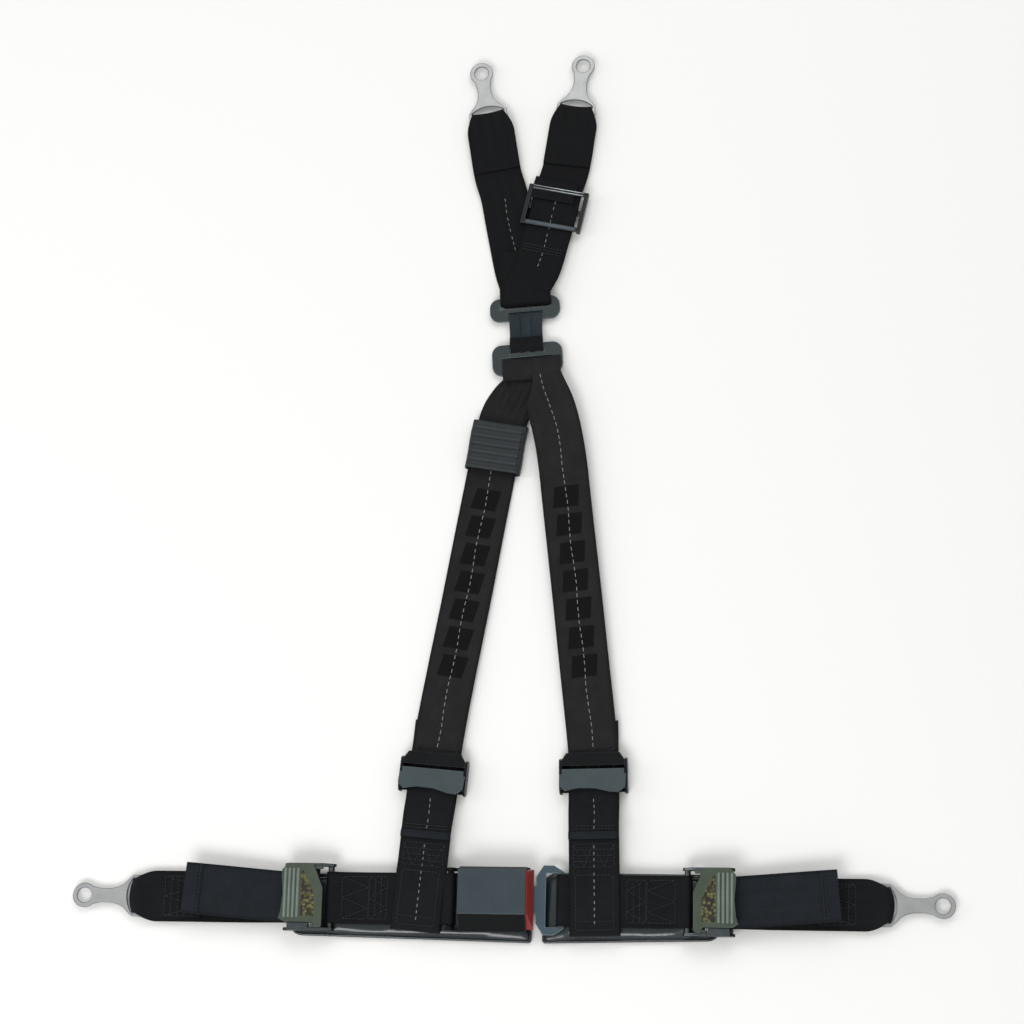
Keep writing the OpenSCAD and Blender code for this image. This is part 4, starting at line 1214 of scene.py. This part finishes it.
# near-black webbing laid over the link's fold round the lower ring's bar: painted shade on the fold
link_fold_shade = lay([(link_low + yoke_up * ahead + Z * lift, yoke_across)
                for ahead, lift in ((-0.0050, 0.0040), (-0.002, 0.0060), (0.003, 0.0058),
                                    (0.0090, 0.0034))],
               0.0334, ripple(0.0004, 71), 0.001)
webbing("link_fold_shade", link_fold_shade, lap_web, body_of["yoke_link"])

# ------------------------------------------------------------------ rear belts
# Near-black webbing. The left belt is looped and sewn round the upper ring's bar, the right
# one over it; each ends folded and sewn in its anchor plate.

rear_web = woven("woven_polyester_rear", "#040506", "#101216")
rear_joint = next(j for j in frame["joints"] if j["name"] == "rear_belts_fold")
rear_bar = Vector(rear_joint["pos_m"])
rear_body = body_of["left_rear_webbing"]
for side, name in ((-1, "left"), (1, "right")):
    node = name + "_rear_webbing"
    joint = next(j for j in frame["joints"] if j["name"] == name + "_rear_anchor_swing")
    eye = Vector(joint["pos_m"])
    across = Vector(joint["axis"]).normalized()
    up_belt = Z.cross(across)
    heights = [0.222 + 0.0275 * k for k in range(4)]
    spine = [middle(node, 1, y) for y in heights]
    if side < 0:
        points = [rear_bar + yoke_up * 0.052 + Z * 0.0030, rear_bar + yoke_up * 0.016 + Z * 0.0042]
        points += arc(rear_bar, yoke_up, ring_turn, 90, 270)
        points += [rear_bar + yoke_up * 0.014 - Z * 0.0043]
    else:
        points = arc(rear_bar + yoke_across * 0.003, yoke_up, ring_turn + 0.0016, 200, 92)
        points += [rear_bar + yoke_across * 0.004 + yoke_up * 0.012 + Z * 0.0060]
    line = [(p, yoke_across) for p in points]
    for i, p in enumerate(spine):
        ahead = spine[min(i + 1, len(spine) - 1)] - spine[max(i - 1, 0)]
        line.append((p, ahead.cross(Z).normalized()))
    fold = [eye - up_belt * 0.064 - Z * 0.0008, eye - up_belt * 0.022 - Z * 0.0009]
    fold += arc(eye, up_belt, anchor_turn, -100, 100)
    fold += [eye - up_belt * 0.014 + Z * 0.0014, eye - up_belt * 0.030 + Z * 0.0008,
             eye - up_belt * 0.062 + Z * 0.0008]
    line += [(p, across) for p in fold]
    belt = lay(line, WEB, ripple(0.0003, 31 + side))
    turn = run_near(belt, eye + up_belt * anchor_turn)
    belt["width"] = tapered([turn], nose, 0.022)
    belt["lift"] = crowned(belt["lift"], turn)
    band = webbing(name + "_rear_band", belt, rear_web, rear_body)
    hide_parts(node)
    start = run_near(belt, eye - up_belt * 0.026 + Z * 0.0008)
    stop = run_near(belt, eye - up_belt * 0.060 + Z * 0.0008)
    sew(name + "_rear_seam", belt, boxed_w(start, stop, 0.019, 4), black_thread, rear_body)
    low_run = run_near(belt, spine[0])
    high_run = run_near(belt, spine[-1])
    sew(name + "_rear_tracer", belt, [tracer_run(low_run, high_run, 0.001)], tracer,
        rear_body, 0.0062, 0.0036, 0.0003)

    if side > 0:
        slide_low, slide_high = (Vector(c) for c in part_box("rear_slide"))
        slide_middle = (slide_low + slide_high) / 2
        slide_run = run_near(belt, slide_middle)
        hem_run = run_near(belt, rear_bar + yoke_up * 0.054)
        sew("right_rear_hem_rows", belt, [[(hem_run + step, -0.021), (hem_run + step, 0.021)]
            for step in (0, 0.003, 0.006)], black_thread, rear_body)
        cut_end = [(on_belt(belt, slide_run + step, -0.004, 0.0016 + 0.001 * step / 0.03)[0],
                    (across + up_belt * slant).normalized())
                   for step, slant in ((0.009, 0), (0.020, -0.03), (0.031, -0.12))]
        webbing("slide_loop_end", lay(cut_end, WEB - 0.003, ripple(0.0006, 61)), rear_web,
                body_of["rear_slide"])

slide_steel = stoved("blued_slide_steel", ("#040506", "#0b0e10"), 0.34, 0.05, shine=0.2)
# lighter grey-blue laid on the slide's lower bar: a painted highlight
slide_highlight = stoved("blued_slide_painted_highlight", ("#394246", "#4d575c"), 0.34, 0.1)
# the slide's rounded edges take the lighter blue: painted thin highlights, partly rubbed steel
refine("rear_slide", slide_steel, 0.0006, blued_rub_and_highlight)
slide_up = Vector((0.204, 0.979, 0)).normalized()
slide_across = slide_up.cross(Z)
# three half-round strips on the slide: the wide lighter one a painted highlight on the lower bar, the two thin
# bright ones painted glints on the upper bar
for k, (ahead, radius, finish) in enumerate(((-0.0193, 0.0021, slide_highlight),
                                             (0.0181, 0.0005, glint_and_rubbed_steel),
                                             (0.0208, 0.0005, glint_and_rubbed_steel))):
    spot = slide_middle + slide_up * ahead + Z * (slide_high.z - slide_middle.z - 0.0006)
    half_round(f"slide_highlight_{k}", spot - slide_across * 0.0265, spot + slide_across * 0.0265, radius,
               finish, body_of["rear_slide"])
